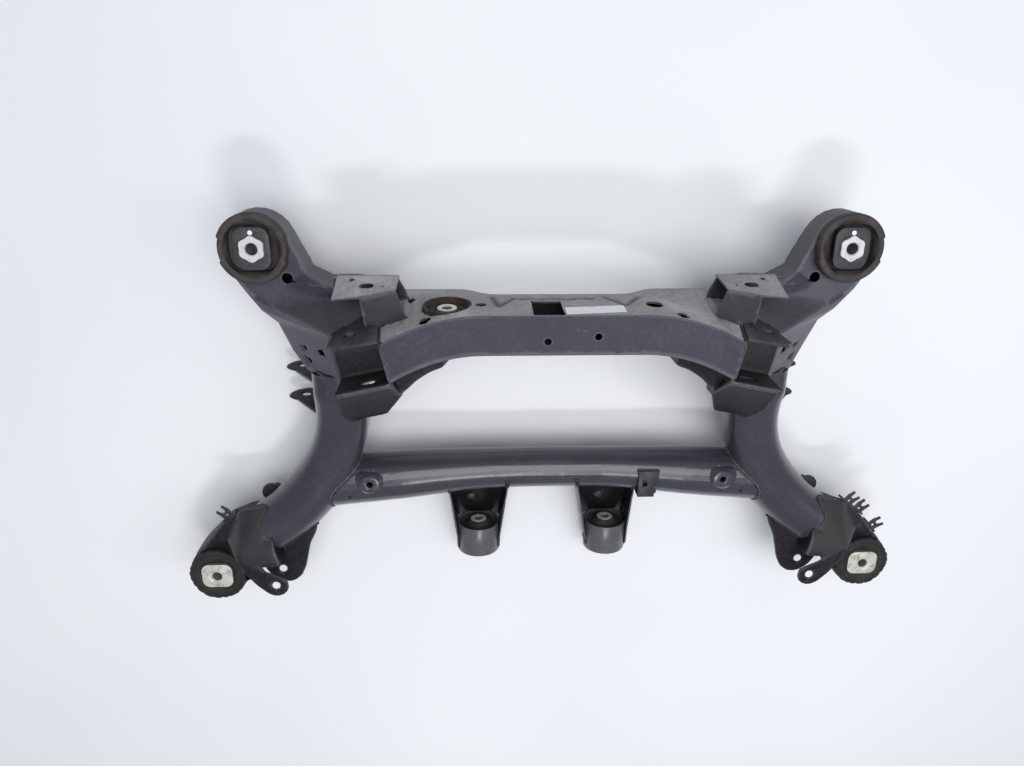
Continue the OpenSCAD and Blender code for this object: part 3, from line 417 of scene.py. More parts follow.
class Workshop:
    """Makes plain mesh pieces and hands them to the frame."""

    MERGE_MM = 0.02

    def __init__(self, paints: Paints) -> None:
        """Keeps the paints and the CAD nodes by name.

        Args:
            paints: the scene's materials.
        """
        self.paints = paints
        self.nodes: dict[str, Object] = frame["nodes"]
        self.meshes: dict[str, BMesh] = {}
        self.trees: dict[str, BVHTree] = {}

    def piece(self, name: str, mesh: Mesh, finish: Finishes,
              stands_for: Sequence[str] = ()) -> Object:
        """Links a finished mesh as a piece of the part.

        Args:
            name: the piece's name.
            mesh: its mesh, in the part's frame.
            finish: its finish.
            stands_for: the CAD nodes that it replaces.

        Returns:
            The new object.
        """
        made = linked(name, mesh)
        self.paints.apply(made, finish)
        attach(made, BODY)
        if stands_for:
            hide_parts(*stands_for)
        log.info("%s: %d faces", name, len(mesh.polygons))
        return made

    def merged(self, node: str) -> BMesh:
        """A CAD node's triangles as one closed mesh.

        Args:
            node: name of the CAD node.

        Returns:
            The mesh, which stays in store.
        """
        if node not in self.meshes:
            bm = bmesh.new()
            bm.from_mesh(self.nodes[node].data)
            bmesh.ops.remove_doubles(bm, verts=bm.verts, dist=self.MERGE_MM * MM)
            bm.normal_update()
            self.meshes[node] = bm
        return self.meshes[node]

    def tree(self, node: str) -> BVHTree:
        """Search tree of a CAD node's surface."""
        if node not in self.trees:
            self.trees[node] = BVHTree.FromBMesh(self.merged(node))
        return self.trees[node]

    def evaluated(self, carrier: Object, name: str) -> Mesh:
        """Turns a carrier with modifiers into a plain mesh and removes the carrier.

        Args:
            carrier: the object with modifiers.
            name: name of the new mesh.

        Returns:
            The plain mesh.
        """
        graph = bpy.context.evaluated_depsgraph_get()
        mesh = bpy.data.meshes.new_from_object(carrier.evaluated_get(graph), preserve_all_data_layers=True,
                                               depsgraph=graph)
        mesh.name = name
        source = carrier.data
        carrier.modifiers.clear()
        bpy.data.objects.remove(carrier)
        bpy.data.meshes.remove(source)
        return mesh


@dataclass(frozen=True)
class Groove:
    """A shallow groove pressed into a face that looks forward."""

    path: tuple[tuple[float, float], ...]
    width_mm: float = 7.0
    depth_mm: float = 1.8

    def sink(self, x: np.ndarray, z: np.ndarray) -> np.ndarray:
        """How deep points of the face are pressed in.

        Args:
            x: places across the part in millimetres.
            z: heights in millimetres.

        Returns:
            The depth at each point in millimetres.
        """
        gap = np.full(len(x), np.inf)
        for (x0, z0), (x1, z1) in zip(self.path, self.path[1:]):
            dx, dz = x1 - x0, z1 - z0
            along = np.clip(((x - x0) * dx + (z - z0) * dz) / (dx * dx + dz * dz), 0.0, 1.0)
            gap = np.minimum(gap, np.hypot(x - x0 - along * dx, z - z0 - along * dz))
        return self.depth_mm * np.exp(-(gap / (0.5 * self.width_mm)) ** 2)


@dataclass(frozen=True)
class Window:
    """A square window through a sheet that looks forward: its edges and the Y behind it in millimetres."""

    left: float
    right: float
    low: float
    high: float
    behind: float


@dataclass(frozen=True)
class EdgeStyle:
    """How a node's folds are softened and its edges rounded."""

    radius_mm: float = 0.9
    segments: int = 2
    from_deg: float = 22.0
    smooth_deg: float = 38.0
    weld_mm: float = 0.35
    room: float = 0.42
    cell_mm: float = 0.0
    passes: int = 0
    rim_passes: int = 0
    swell: float = 0.0
    sheet_mm: float = 4.2
    grooves: tuple[Groove, ...] = ()
    windows: tuple[Window, ...] = ()


class Rounder:
    """Copies CAD nodes, softens their folds and rounds their edges."""

    SLIVER_MM = 0.05
    FLAT_DEG = 0.6
    SPLITS = 9
    SPECK_MM = 0.03
    SPECK_AREA = 1e-9
    SHARP_DEG = 35.0
    WORN_DEG = 60.0
    SHEET_FACING = 0.6
    GROOVE_FACING = 0.7

    def __init__(self, shop: Workshop) -> None:
        """Keeps the workshop."""
        self.shop = shop

    def dress(self, node: str, finish: Finishes, style: EdgeStyle) -> Object:
        """Replaces a CAD node by a copy with softened folds or rounded edges.

        Args:
            node: name of the CAD node.
            finish: the copy's finish.
            style: how its folds and edges are treated.

        Returns:
            The new piece.
        """
        bm = self.shop.merged(node).copy()
        bmesh.ops.remove_doubles(bm, verts=bm.verts, dist=style.weld_mm * MM)
        bmesh.ops.dissolve_degenerate(bm, edges=bm.edges, dist=self.SLIVER_MM * MM)
        flat = math.radians(self.FLAT_DEG)
        bmesh.ops.dissolve_limit(bm, angle_limit=flat, verts=bm.verts, edges=bm.edges)
        mesh = self.softened(bm, node, style) if style.cell_mm else self.bevelled(bm, node, style)
        return self.shop.piece(node + "_dressed", mesh, finish, [node])

    def softened(self, bm: BMesh, node: str, style: EdgeStyle) -> Mesh:
        """A finely split mesh with rounded folds and sharp cut edges.

        Args:
            bm: the node's mesh, which is used up.
            node: name of the CAD node.
            style: how far the folds are softened.

        Returns:
            The finished mesh.
        """
        for window in style.windows:
            self.open_window(bm, window)
        self.refine(bm, style.cell_mm * MM)
        wear_and_shade, cut_edges = self.soften(bm, style)
        for edge in bm.edges:
            edge.smooth = edge.index not in cut_edges
        for face in bm.faces:
            face.smooth = True
        mesh = bpy.data.meshes.new(node + "_softened")
        bm.to_mesh(mesh)
        bm.free()
        mesh.attributes.new("rim", "FLOAT", "POINT").data.foreach_set("value", wear_and_shade)
        return mesh

    def bevelled(self, bm: BMesh, node: str, style: EdgeStyle) -> Mesh:
        """A mesh with bevelled edges.

        Args:
            bm: the node's mesh, which is used up.
            node: name of the CAD node.
            style: how the edges are rounded.

        Returns:
            The finished mesh.
        """
        weights = self.weights(bm, style)
        mesh = bpy.data.meshes.new(node + "_blank")
        bm.to_mesh(mesh)
        bm.free()
        mesh.attributes.new("bevel_weight_edge", "FLOAT", "EDGE").data.foreach_set("value", weights)
        carrier = linked(node + "_blank", mesh)
        bevel = carrier.modifiers.new("round", "BEVEL")
        bevel.limit_method = "WEIGHT"
        bevel.width = style.radius_mm * MM
        bevel.segments = style.segments
        bevel.use_clamp_overlap = False
        bevel.offset_type = "OFFSET"
        bevel.miter_outer = "MITER_ARC"
        mesh = self.shop.evaluated(carrier, node + "_rounded")
        mesh.shade_smooth()
        mesh.set_sharp_from_angle(angle=math.radians(style.smooth_deg))
        self.mark_rims(mesh)
        return mesh

    @classmethod
    def open_window(cls, bm: BMesh, window: Window) -> None:
        """Cuts a window out of the sheet, with any smaller hole's rim inside it.

        Args:
            bm: the mesh, which is changed.
            window: the window's edges.
        """
        for axis, at in zip((0, 0, 2, 2), (window.left, window.right, window.low, window.high)):
            normal = Vector((axis == 0, 0.0, axis == 2))
            sheet = [f for f in bm.faces if abs(f.normal.y) > cls.SHEET_FACING]
            verts = {v for f in sheet for v in f.verts}
            edges = {e for f in sheet for e in f.edges}
            bmesh.ops.bisect_plane(bm, geom=[*verts, *edges, *sheet], plane_co=normal * at * MM,
                                   plane_no=normal)
        gone = []
        for face in bm.faces:
            x, y, z = face.calc_center_median() / MM
            if window.left < x < window.right and window.low < z < window.high and y > window.behind:
                gone.append(face)
        bmesh.ops.delete(bm, geom=gone, context="FACES")

    @classmethod
    def refine(cls, bm: BMesh, cell: float) -> None:
        """Splits the faces until no edge is longer than a cell.

        Args:
            bm: the mesh, which is changed.
            cell: the longest edge in metres.
        """
        bmesh.ops.triangulate(bm, faces=bm.faces)
        for _ in range(cls.SPLITS):
            long = [e for e in bm.edges if e.calc_length() > cell]
            if not long:
                break
            bmesh.ops.subdivide_edges(bm, edges=long, cuts=1)
            bmesh.ops.triangulate(bm, faces=[f for f in bm.faces if len(f.verts) > 3])
        bmesh.ops.dissolve_degenerate(bm, edges=bm.edges, dist=cls.SPECK_MM * MM)
        bmesh.ops.triangulate(bm, faces=[f for f in bm.faces if len(f.verts) > 3])

    @classmethod
    def soften(cls, bm: BMesh, style: EdgeStyle) -> tuple[np.ndarray, set[int]]:
        """Rounds the folds of the skin and the corners of the sheet's cut edges.

        Args:
            bm: the refined mesh, which is changed.
            style: how far the folds and corners are softened, and the grooves in the skin.

        Returns:
            The rim value of each vertex, for edge wear with painted highlight, below 0 for painted shade in a
            groove, and the numbers of the edges that stay sharp.
        """
        bm.normal_update()
        bm.verts.index_update()
        bm.edges.index_update()
        tree = BVHTree.FromBMesh(bm)
        held = np.zeros(len(bm.verts), dtype=bool)
        ends_of_sheet = set()
        for face in bm.faces:
            start = face.calc_center_median() - face.normal * (cls.SPECK_MM * MM)
            behind = tree.ray_cast(start, -face.normal, style.sheet_mm * MM)[0]
            if face.calc_area() > cls.SPECK_AREA and behind is None:
                held[[v.index for v in face.verts]] = True
                ends_of_sheet.add(face.index)
        wear_and_shade = held.astype(float)
        sharp = set()
        for edge in bm.edges:
            bend = edge.calc_face_angle(0.0) if len(edge.link_faces) == 2 else 0.0
            if bend > math.radians(cls.SHARP_DEG) and any(f.index in ends_of_sheet for f in edge.link_faces):
                sharp.add(edge.index)
        place = np.array([v.co for v in bm.verts])
        ends = np.array([[v.index for v in e.verts] for e in bm.edges])
        rims = ends[held[ends[:, 0]] & held[ends[:, 1]]]
        cls.blur(place, rims, held, style.rim_passes, style.swell)
        cls.blur(place, ends, ~held, style.passes, style.swell)
        looks_forward = np.array([abs(v.normal.y) > cls.GROOVE_FACING for v in bm.verts])
        for groove in style.grooves:
            depth = groove.sink(place[:, 0] / MM, place[:, 2] / MM) * (looks_forward & ~held)
            place[:, 1] -= depth * MM
            # A groove's negative rim value becomes painted shade in the paint.
            wear_and_shade -= depth / groove.depth_mm
        for vert, co in zip(bm.verts, place):
            vert.co = co
        bm.normal_update()
        return wear_and_shade, sharp

    @staticmethod
    def blur(place: np.ndarray, ends: np.ndarray, free: np.ndarray, passes: int, swell: float) -> None:
        """Moves points towards the middle of their neighbours.

        Args:
            place: the points, which are changed.
            ends: the two points of each edge that counts.
            free: which points may move.
            passes: how often they move.
            swell: share of each move that is taken back for the whole form to keep its girth.
        """
        count = np.bincount(ends.ravel(), minlength=len(place))
        degree = np.maximum(count, 1)[:, None]
        moved = free & (count > 0)
        for step in (0.5, -0.5 * swell) * passes:
            if step:
                total = np.zeros_like(place)
                np.add.at(total, ends[:, 0], place[ends[:, 1]])
                np.add.at(total, ends[:, 1], place[ends[:, 0]])
                place[moved] += step * (total / degree - place)[moved]

    def weights(self, bm: BMesh, style: EdgeStyle) -> list[float]:
        """Share of the style's radius that each edge has room for.

        Args:
            bm: the mesh.
            style: how its edges are rounded.

        Returns:
            One share for each edge.
        """
        radius = style.radius_mm * MM
        least = math.radians(style.from_deg)
        room = {v: min((e.calc_length() for e in v.link_edges), default=0.0) for v in bm.verts}
        bm.edges.ensure_lookup_table()
        shares = []
        for edge in bm.edges:
            sharp = len(edge.link_faces) == 2 and edge.calc_face_angle(0.0) > least
            space = style.room * min(room[v] for v in edge.verts)
            shares.append(min(1.0, space / radius) if sharp else 0.0)
        return shares

    @classmethod
    def mark_rims(cls, mesh: Mesh) -> None:
        """Stores on each corner point how sharply the surface bends there, for edge wear with painted
        highlight.

        Args:
            mesh: the rounded mesh.
        """
        bm = bmesh.new()
        bm.from_mesh(mesh)
        rim = []
        for vert in bm.verts:
            bends = [e.calc_face_angle(0.0) for e in vert.link_edges if len(e.link_faces) == 2]
            rim.append(min(1.0, max(bends, default=0.0) / math.radians(cls.WORN_DEG)))
        bm.free()
        mesh.attributes.new("rim", "FLOAT", "POINT").data.foreach_set("value", rim)


@dataclass(frozen=True)
class Turned:
    """A ring turned round an axis, whose outline may change with the angle."""

    name: str
    profile: tuple[tuple[float, float], ...]
    finish: Finishes
    steps: int = 96
    stretch: Callable[[float, float], float] = lambda r, turn: r
    smooth_deg: float = 40.0

    def make(self, shop: Workshop, place: Matrix, side: str = "",
             stands_for: Sequence[str] = ()) -> Object:
        """Turns the ring and stands it in the part.

        Args:
            shop: the workshop.
            place: the axis, with its origin and with Z along it.
            side: ending of the piece's name.
            stands_for: the CAD nodes that it replaces.

        Returns:
            The new piece.
        """
        points, quads, n = [], [], len(self.profile)
        for i in range(self.steps):
            turn = math.tau * i / self.steps
            for r, z in self.profile:
                reach = self.stretch(r, turn)
                points.append(place @ (Vector((reach * math.cos(turn), reach * math.sin(turn), z)) * MM))
        for i in range(self.steps):
            k = (i + 1) % self.steps
            quads += [(i * n + j, k * n + j, k * n + (j + 1) % n, i * n + (j + 1) % n) for j in range(n)]
        mesh = bpy.data.meshes.new(self.name + side)
        mesh.from_pydata(points, [], quads)
        if place.determinant() < 0.0:
            mesh.flip_normals()
        mesh.shade_smooth()
        mesh.set_sharp_from_angle(angle=math.radians(self.smooth_deg))
        mesh.attributes.new("rim", "FLOAT", "POINT")
        return shop.piece(self.name + side, mesh, self.finish, stands_for)


def stand(at: Point, side: str = "", lean_deg: float = 0.0) -> Matrix:
    """An axis that stands upright or leans about X, mirrored for the left with all that is turned on it."""
    mirror = Matrix.Diagonal((-1.0 if side == "left" else 1.0, 1.0, 1.0, 1.0))
    return mirror @ Matrix.Translation(at) @ Matrix.Rotation(math.radians(lean_deg), 4, "X")


def squarish(half_wide: float, half_tall: float, power: float, turn: float) -> float:
    """Reach of a squarish oval at an angle.

    Args:
        half_wide: reach along X.
        half_tall: reach along Y.
        power: 2 for an ellipse, more for squarer corners.
        turn: the angle from X in radians.

    Returns:
        The distance from the middle.
    """
    total = abs(math.cos(turn) / half_wide) ** power + abs(math.sin(turn) / half_tall) ** power
    return total ** (-1.0 / power)


def front_ring_reach(r: float, turn: float) -> float:
    """Outline of the front bush's rubber: two broad lobes outside, a squarish mouth inside.

    Args:
        r: the profile's radius in millimetres.
        turn: the angle from X in radians.

    Returns:
        The radius at that angle.
    """
    if r < 37.0:
        share = min(1.0, max(0.0, (r - 16.0) / 10.0))
        return r + share * (squarish(33.0, 31.0, 3.4, turn) - 32.5)
    if r > 41.5:
        lobe = math.sin(turn) > 0.32 or math.sin(turn) < -0.36
        return r + (1.6 if lobe else -0.7)
    return r


def star_reach(r: float, turn: float) -> float:
    """Outline of the front bush's core: six blunt points round a plain bore."""
    return r * (1.0 + 0.055 * math.cos(6.0 * turn + math.pi)) if r > 12.0 else r


def dish_reach(r: float, turn: float) -> float:
    """Outline of a tube boss's collar, which is narrower where the tube falls away."""
    return r * (1.0 - 0.36 * math.sin(turn) ** 2) if r > 15.1 else r


def rear_ring_reach(r: float, turn: float) -> float:
    """Outline of the rear bush's rubber: ragged teeth on the rim.

    Args:
        r: the profile's radius in millimetres.
        turn: the angle from X in radians.

    Returns:
        The radius at that angle.
    """
    if r < 40.5:
        return r
    tooth = (turn / math.tau * 21.0 + 0.35 * math.sin(3.0 * turn)) % 1.0
    height = 0.45 if tooth < 0.7 else -0.6 - 0.4 * math.sin(7.0 * turn)
    return r + 0.6 + height + 0.5 * math.sin(5.0 * turn + 0.8)


class Recipe(Circuit):
    """A Geometry Nodes tree under construction."""

    def __init__(self, name: str) -> None:
        """Makes a tree with one geometry input and one geometry output.

        Args:
            name: the tree's name.
        """
        super().__init__(bpy.data.node_groups.new(name, "GeometryNodeTree"))
        self.sockets: dict[str, str] = {}
        for way in ("INPUT", "OUTPUT"):
            self.tree.interface.new_socket("Geometry", in_out=way, socket_type="NodeSocketGeometry")
        self.start = self.node("NodeGroupInput")
        self.end = self.node("NodeGroupOutput")

    def input(self, name: str, kind: str) -> Wire:
        """Adds a named input of one socket type and gives its value inside the tree."""
        self.sockets[name] = self.tree.interface.new_socket(name, in_out="INPUT", socket_type=kind).identifier
        return Wire(self, self.start.outputs[name])

    def finish(self, geometry: Wire) -> None:
        """Ends the tree with a geometry."""
        self.feed(self.end.inputs[0], geometry)

    def put_on(self, carrier: Object, **values: Any) -> None:
        """Puts the tree on an object as a modifier.

        Args:
            carrier: the object.
            values: the named inputs, with underscores for spaces.
        """
        modifier = carrier.modifiers.new(self.tree.name, "NODES")
        modifier.node_group = self.tree
        for name, value in values.items():
            modifier[self.sockets[name.replace("_", " ")]] = value


@dataclass(frozen=True)
class Seam:
    """A weld along the edges of one node that lie on another node."""

    edge_of: str
    on: str
    radius_mm: float = 2.0
    finish: Finishes = Finishes.DARK


class Welder:
    """Lays weld beads along the seams between CAD nodes."""

    REACH_MM = 0.5
    BEND_DEG = 25.0
    JOIN_MM = 0.15
    PITCH_MM = 2.6
    RIPPLE = 0.12

    def __init__(self, shop: Workshop) -> None:
        """Keeps the workshop and builds the bead's tree."""
        self.shop = shop
        self.bead = self.recipe()

    @staticmethod
    def recipe() -> Recipe:
        """The tree that turns seam edges into a rippled bead.

        Returns:
            The finished tree.
        """
        r = Recipe("weld bead")
        radius, pitch, depth, seed = (r.input(name, "NodeSocketFloat") for name in (
            "Bead Radius", "Ripple Pitch", "Ripple Depth", "Seed"))
        material = r.input("Bead Material", "NodeSocketMaterial")
        curve = r.step("GeometryNodeMeshToCurve", None, {"Mesh": Wire(r, r.start.outputs[0])})
        curve = r.step("GeometryNodeResampleCurve", {"mode": "LENGTH"},
                       {"Curve": curve, "Length": pitch / 4.0})
        along = r.step("GeometryNodeSplineParameter", output="Length")
        wave = (along / pitch * math.tau).sine()
        cloud = r.step("ShaderNodeTexNoise", {"noise_dimensions": "4D"},
                       {"W": seed, "Scale": 90.0, "Detail": 1.0})
        swell = wave * depth + (cloud * 0.7 + 0.65)
        profile = r.step("GeometryNodeCurvePrimitiveCircle", None, {"Resolution": 8, "Radius": 1.0})
        bead = r.step("GeometryNodeCurveToMesh", None, {"Curve": curve, "Profile Curve": profile,
                                                        "Scale": swell * radius, "Fill Caps": True})
        bead = r.step("GeometryNodeSetShadeSmooth", None, {"Geometry": bead})
        bead = r.step("GeometryNodeRealizeInstances", None, {"Geometry": bead})
        r.finish(r.step("GeometryNodeSetMaterial", None, {"Geometry": bead, "Material": material}))
        return r

    def lines(self, seam: Seam) -> list[tuple[Vector, Vector]]:
        """The edges of one node that lie on the other.

        Args:
            seam: the two nodes.

        Returns:
            The two ends of each edge.
        """
        tree = self.shop.tree(seam.on)
        found = []
        for edge in self.shop.merged(seam.edge_of).edges:
            if len(edge.link_faces) != 2 or edge.calc_face_angle(0.0) < math.radians(self.BEND_DEG):
                continue
            first, last = (v.co for v in edge.verts)
            if all(tree.find_nearest(p, self.REACH_MM * MM)[0] for p in (first, last, (first + last) / 2)):
                found.append((first.copy(), last.copy()))
        return found

    def weld(self, seam: Seam, seed: int) -> None:
        """Lays one bead.

        Args:
            seam: the two nodes.
            seed: seed of the bead's unevenness.
        """
        lines = self.lines(seam)
        if not lines:
            log.warning("no seam between %s and %s", seam.edge_of, seam.on)
            return
        bm = bmesh.new()
        for first, last in lines:
            bm.edges.new((bm.verts.new(first), bm.verts.new(last)))
        bmesh.ops.remove_doubles(bm, verts=bm.verts, dist=self.JOIN_MM * MM)
        name = f"weld_{seam.edge_of}_to_{seam.on}"
        mesh = bpy.data.meshes.new(name + "_seam")
        bm.to_mesh(mesh)
        bm.free()
        carrier = linked(name + "_seam", mesh)
        self.bead.put_on(carrier, Bead_Radius=seam.radius_mm * MM, Ripple_Pitch=self.PITCH_MM * MM,
                         Ripple_Depth=self.RIPPLE, Seed=float(seed),
                         Bead_Material=self.shop.paints.materials[seam.finish])
        self.shop.piece(name, self.shop.evaluated(carrier, name), seam.finish)


@dataclass
class Group:
    """A set of CAD nodes that take the same finish and edges."""

    names: Sequence[str]
    finish: Finishes
    style: EdgeStyle = EdgeStyle()
    sided: bool = True

    def nodes(self) -> list[str]:
        """Names of the CAD nodes."""
        return [f"{n}_{side}" for n in self.names for side in SIDES] if self.sided else list(self.names)


@dataclass
class Pressings:
    """The pressed sheet pieces: arms, link boxes, cross member and corners."""

    soft: EdgeStyle = EdgeStyle(cell_mm=4.5, passes=9)
    shell: EdgeStyle = EdgeStyle(cell_mm=4.5, passes=9, rim_passes=10)
    firm: EdgeStyle = EdgeStyle(cell_mm=4.5, passes=3, rim_passes=5)
    crisp: EdgeStyle = EdgeStyle(cell_mm=4.5, passes=1)
    folded: EdgeStyle = EdgeStyle(cell_mm=6.0)
    loose: EdgeStyle = EdgeStyle(cell_mm=4.5, passes=7, sheet_mm=1000.0)
    plate: EdgeStyle = EdgeStyle(radius_mm=0.8)
    top: EdgeStyle = EdgeStyle(cell_mm=4.0, passes=4, sheet_mm=8.0, grooves=(
        Groove(((-52, 211), (-40, 207), (-27, 211), (-12, 209), (8, 213), (24, 208), (41, 210)),
               depth_mm=3.0),
        Groove(((60, 204), (81, 237), (103, 204)), depth_mm=2.6),
        Groove(((-88, 200), (-80, 240), (-60, 206)), depth_mm=2.6),
    ), windows=(Window(left=-37.0, right=-1.0, low=223.0, high=276.5, behind=192.0),))

    def groups(self) -> list[Group]:
        """The groups of pressed pieces."""
        return [
            Group(["arm_shell"], Finishes.SHEET, self.soft),
            Group(["corner_upper_shell"], Finishes.DARK, self.shell),
            Group(["link_box"], Finishes.FACE, self.folded),
            Group(["pocket_shell", "corner_lower_shell", "gusset", "upper_link_ears"], Finishes.DARK,
                  self.firm),
            Group(["arm_back_plate"], Finishes.DARK, self.loose),
            Group(["link_plate", "tube_bracket"], Finishes.DARK, self.plate),
            Group(["cross_member_front"], Finishes.WALL, self.crisp, sided=False),
            Group(["cross_member_top"], Finishes.FACE, self.top, sided=False),
            Group(["tube_clip", "cable_clip_left", "cable_clip_right", "cable_clip_corner"], Finishes.DARK,
                  self.plate, sided=False),
        ]

    def seams(self) -> list[Seam]:
        """The welds that join the pressings to each other and to the tubes."""
        made = []
        for side in SIDES:
            for edge_of in ("link_box", "link_plate"):
                made.append(Seam(f"{edge_of}_{side}", f"arm_shell_{side}"))
            for edge_of in ("pocket_shell", "corner_lower_shell", "upper_link_ears", "tube_bracket"):
                made.append(Seam(f"{edge_of}_{side}", f"side_tube_{side}"))
            made.append(Seam(f"link_box_{side}", "cross_member_top", 2.4, Finishes.SHEET))
            made.append(Seam(f"gusset_{side}", "cross_member_front"))
        return made


@dataclass
class TubeFrame:
    """The bent side tubes, the rear tube and its weld bosses."""

    wall: EdgeStyle = EdgeStyle(cell_mm=6.0, passes=28, swell=1.04)
    boss: EdgeStyle = EdgeStyle(radius_mm=0.8)
    boss_at: Point = (0.272, -0.1064, 0.0)
    drain_at: Point = (0.3035, -0.1287, 0.12185)
    drain_lean_deg: float = 22.4

    def groups(self) -> list[Group]:
        """The groups of tubes."""
        return [
            Group(["side_tube"], Finishes.TUBE, self.wall),
            Group(["weld_boss"], Finishes.TUBE, self.boss),
            Group(["rear_tube"], Finishes.TUBE, self.wall, sided=False),
        ]

    def seams(self) -> list[Seam]:
        """The welds of the rear tube and its bosses."""
        made = [Seam("tube_clip", "rear_tube", 1.6, Finishes.TUBE)]
        for side in SIDES:
            made.append(Seam("rear_tube", f"side_tube_{side}", 2.4, Finishes.TUBE))
        return made

    def turn(self, shop: Workshop) -> None:
        """Turns the collars round the weld bosses and the dark discs of painted shade that stand for the
        drain holes.

        Args:
            shop: the workshop.
        """
        collar = Turned("tube_boss_collar", (
            (14.2, 112.0), (14.2, 126.7), (15.0, 127.1), (17.0, 126.2), (20.0, 123.9), (24.0, 121.2),
            (28.0, 117.6), (28.0, 112.0)), Finishes.TUBE, steps=72, stretch=dish_reach)
        # Each drain hole is a thin dark disc on the tube: painted shade in place of a hole.
        drain = Turned("tube_drain_hole", ((0.2, -0.5), (3.2, -0.5), (3.2, 0.4), (0.2, 0.4)),
                       Finishes.REAR_RUBBER, steps=32)
        for side in SIDES:
            collar.make(shop, stand(self.boss_at, side), "_" + side)
            drain.make(shop, stand(self.drain_at, side, self.drain_lean_deg), "_" + side)


@dataclass
class Bushes:
    """The body bushes and the differential's bushes."""

    ring: EdgeStyle = EdgeStyle(radius_mm=0.9, smooth_deg=40.0)
    thin: EdgeStyle = EdgeStyle(radius_mm=0.7)
    bracket: EdgeStyle = EdgeStyle(cell_mm=4.5, passes=3, rim_passes=4)
    front_at: Point = (0.400, 0.258, 0.0)
    dot_at: Point = (0.400, 0.279, 0.0)
    rear_at: Point = (0.516, -0.2595, 0.0)
    diff_at: Point = (0.107, -0.222, 0.035)
    nose_at: Point = (-0.145, 0.19893, 0.230)
    nose_tilt_deg: float = 6.052

    def groups(self) -> list[Group]:
        """The groups of bush pieces that keep their CAD form."""
        return [
            Group(["nose_sleeve"], Finishes.NOSE_RUBBER, self.ring, sided=False),
            Group(["front_sleeve", "rear_sleeve", "front_stop_plate"], Finishes.STEEL, self.ring),
            Group(["diff_core"], Finishes.DIFF_CORE, self.thin),
            Group(["rear_core"], Finishes.REAR_CORE, self.thin),
            Group(["diff_ring"], Finishes.RING, self.ring),
            Group(["diff_bracket"], Finishes.GLOSS, self.bracket),
        ]

    def seams(self) -> list[Seam]:
        """The welds of the differential brackets."""
        made = []
        for side in SIDES:
            made.append(Seam(f"diff_bracket_{side}", "rear_tube", 2.0, Finishes.GLOSS))
            made.append(Seam(f"diff_bracket_{side}", f"diff_ring_{side}", 1.6, Finishes.GLOSS))
        return made

    def turn(self, shop: Workshop) -> None:
        """Turns the rubbers, which have lobes, teeth and dished faces, with cores and the stop plates' dots.

        Args:
            shop: the workshop.
        """
        star = Turned("front_bush_core", (
            (8.0, 90.0), (13.5, 90.0), (13.5, 156.0), (17.0, 156.0), (17.0, 163.2), (16.2, 164.2),
            (9.4, 164.2), (8.0, 163.0)), Finishes.CORE, stretch=star_reach)
        front = Turned("front_bush_rubber", (
            (15.0, 99.0), (39.5, 99.0), (39.5, 149.0), (45.5, 149.0), (45.5, 160.2), (44.7, 162.0),
            (42.8, 163.0), (40.0, 163.0), (37.5, 161.5), (34.0, 157.0), (32.6, 154.0), (31.8, 147.0),
            (24.0, 144.0), (15.0, 143.0)), Finishes.RUBBER, steps=144, stretch=front_ring_reach)
        rear = Turned("rear_bush_rubber", (
            (16.0, 56.0), (37.5, 56.0), (37.5, 120.0), (42.0, 120.0), (42.0, 126.5), (40.8, 128.0),
            (38.6, 128.0), (37.8, 127.2), (36.6, 127.2), (35.8, 128.0), (33.0, 128.0), (26.0, 127.0),
            (16.0, 120.0)), Finishes.REAR_RUBBER, steps=168, stretch=rear_ring_reach)
        boss = Turned("rear_core_boss", (
            (7.3, 128.0), (15.5, 128.0), (15.0, 130.3), (13.2, 130.8), (12.2, 130.2), (10.6, 130.2),
            (9.6, 131.2), (8.2, 131.2), (7.3, 130.4)), Finishes.REAR_CORE, steps=64)
        dot = Turned("stop_plate_dot", ((0.2, 161.2), (3.1, 161.2), (3.1, 161.6), (0.2, 161.7)),
                     Finishes.LABEL, steps=32)
        spool = Turned("diff_bush_rubber", (
            (13.0, -3.2), (14.6, -2.8), (19.5, 3.4), (24.0, 6.4), (28.0, 5.4), (32.0, 3.6), (32.0, 46.4),
            (28.0, 44.6), (24.0, 43.6), (19.5, 46.6), (14.6, 52.8), (13.0, 53.2)), Finishes.RUBBER, steps=72)
        dish = Turned("nose_bush_rubber", (
            (12.7, -44.0), (28.0, -44.0), (28.0, -1.5), (26.6, -3.0), (25.4, -6.5), (23.4, -7.6),
            (21.6, -6.2), (19.6, -6.6), (17.6, -8.4), (15.0, -7.2), (12.7, -6.6)),
            Finishes.NOSE_RUBBER, steps=72)
        core = Turned("nose_bush_core", (
            (6.5, -44.0), (12.7, -44.0), (12.7, -3.4), (12.0, -2.6), (7.6, -2.6), (6.5, -3.6)),
            Finishes.DIFF_CORE, steps=64)
        for side in SIDES:
            for ring, at, node in ((star, self.front_at, "front_core"),
                                   (front, self.front_at, "front_rubber"),
                                   (rear, self.rear_at, "rear_rubber")):
                ring.make(shop, stand(at, side), "_" + side, [f"{node}_{side}"])
            boss.make(shop, stand(self.rear_at, side), "_" + side)
            dot.make(shop, stand(self.dot_at, side), "_" + side)
            lying = stand(self.diff_at, side, LYING_DEG)
            spool.make(shop, lying, "_" + side, [f"diff_rubber_{side}"])
        nose = stand(self.nose_at, lean_deg=self.nose_tilt_deg - LYING_DEG)
        dish.make(shop, nose, "", ["nose_rubber"])
        core.make(shop, nose, "", ["nose_core"])


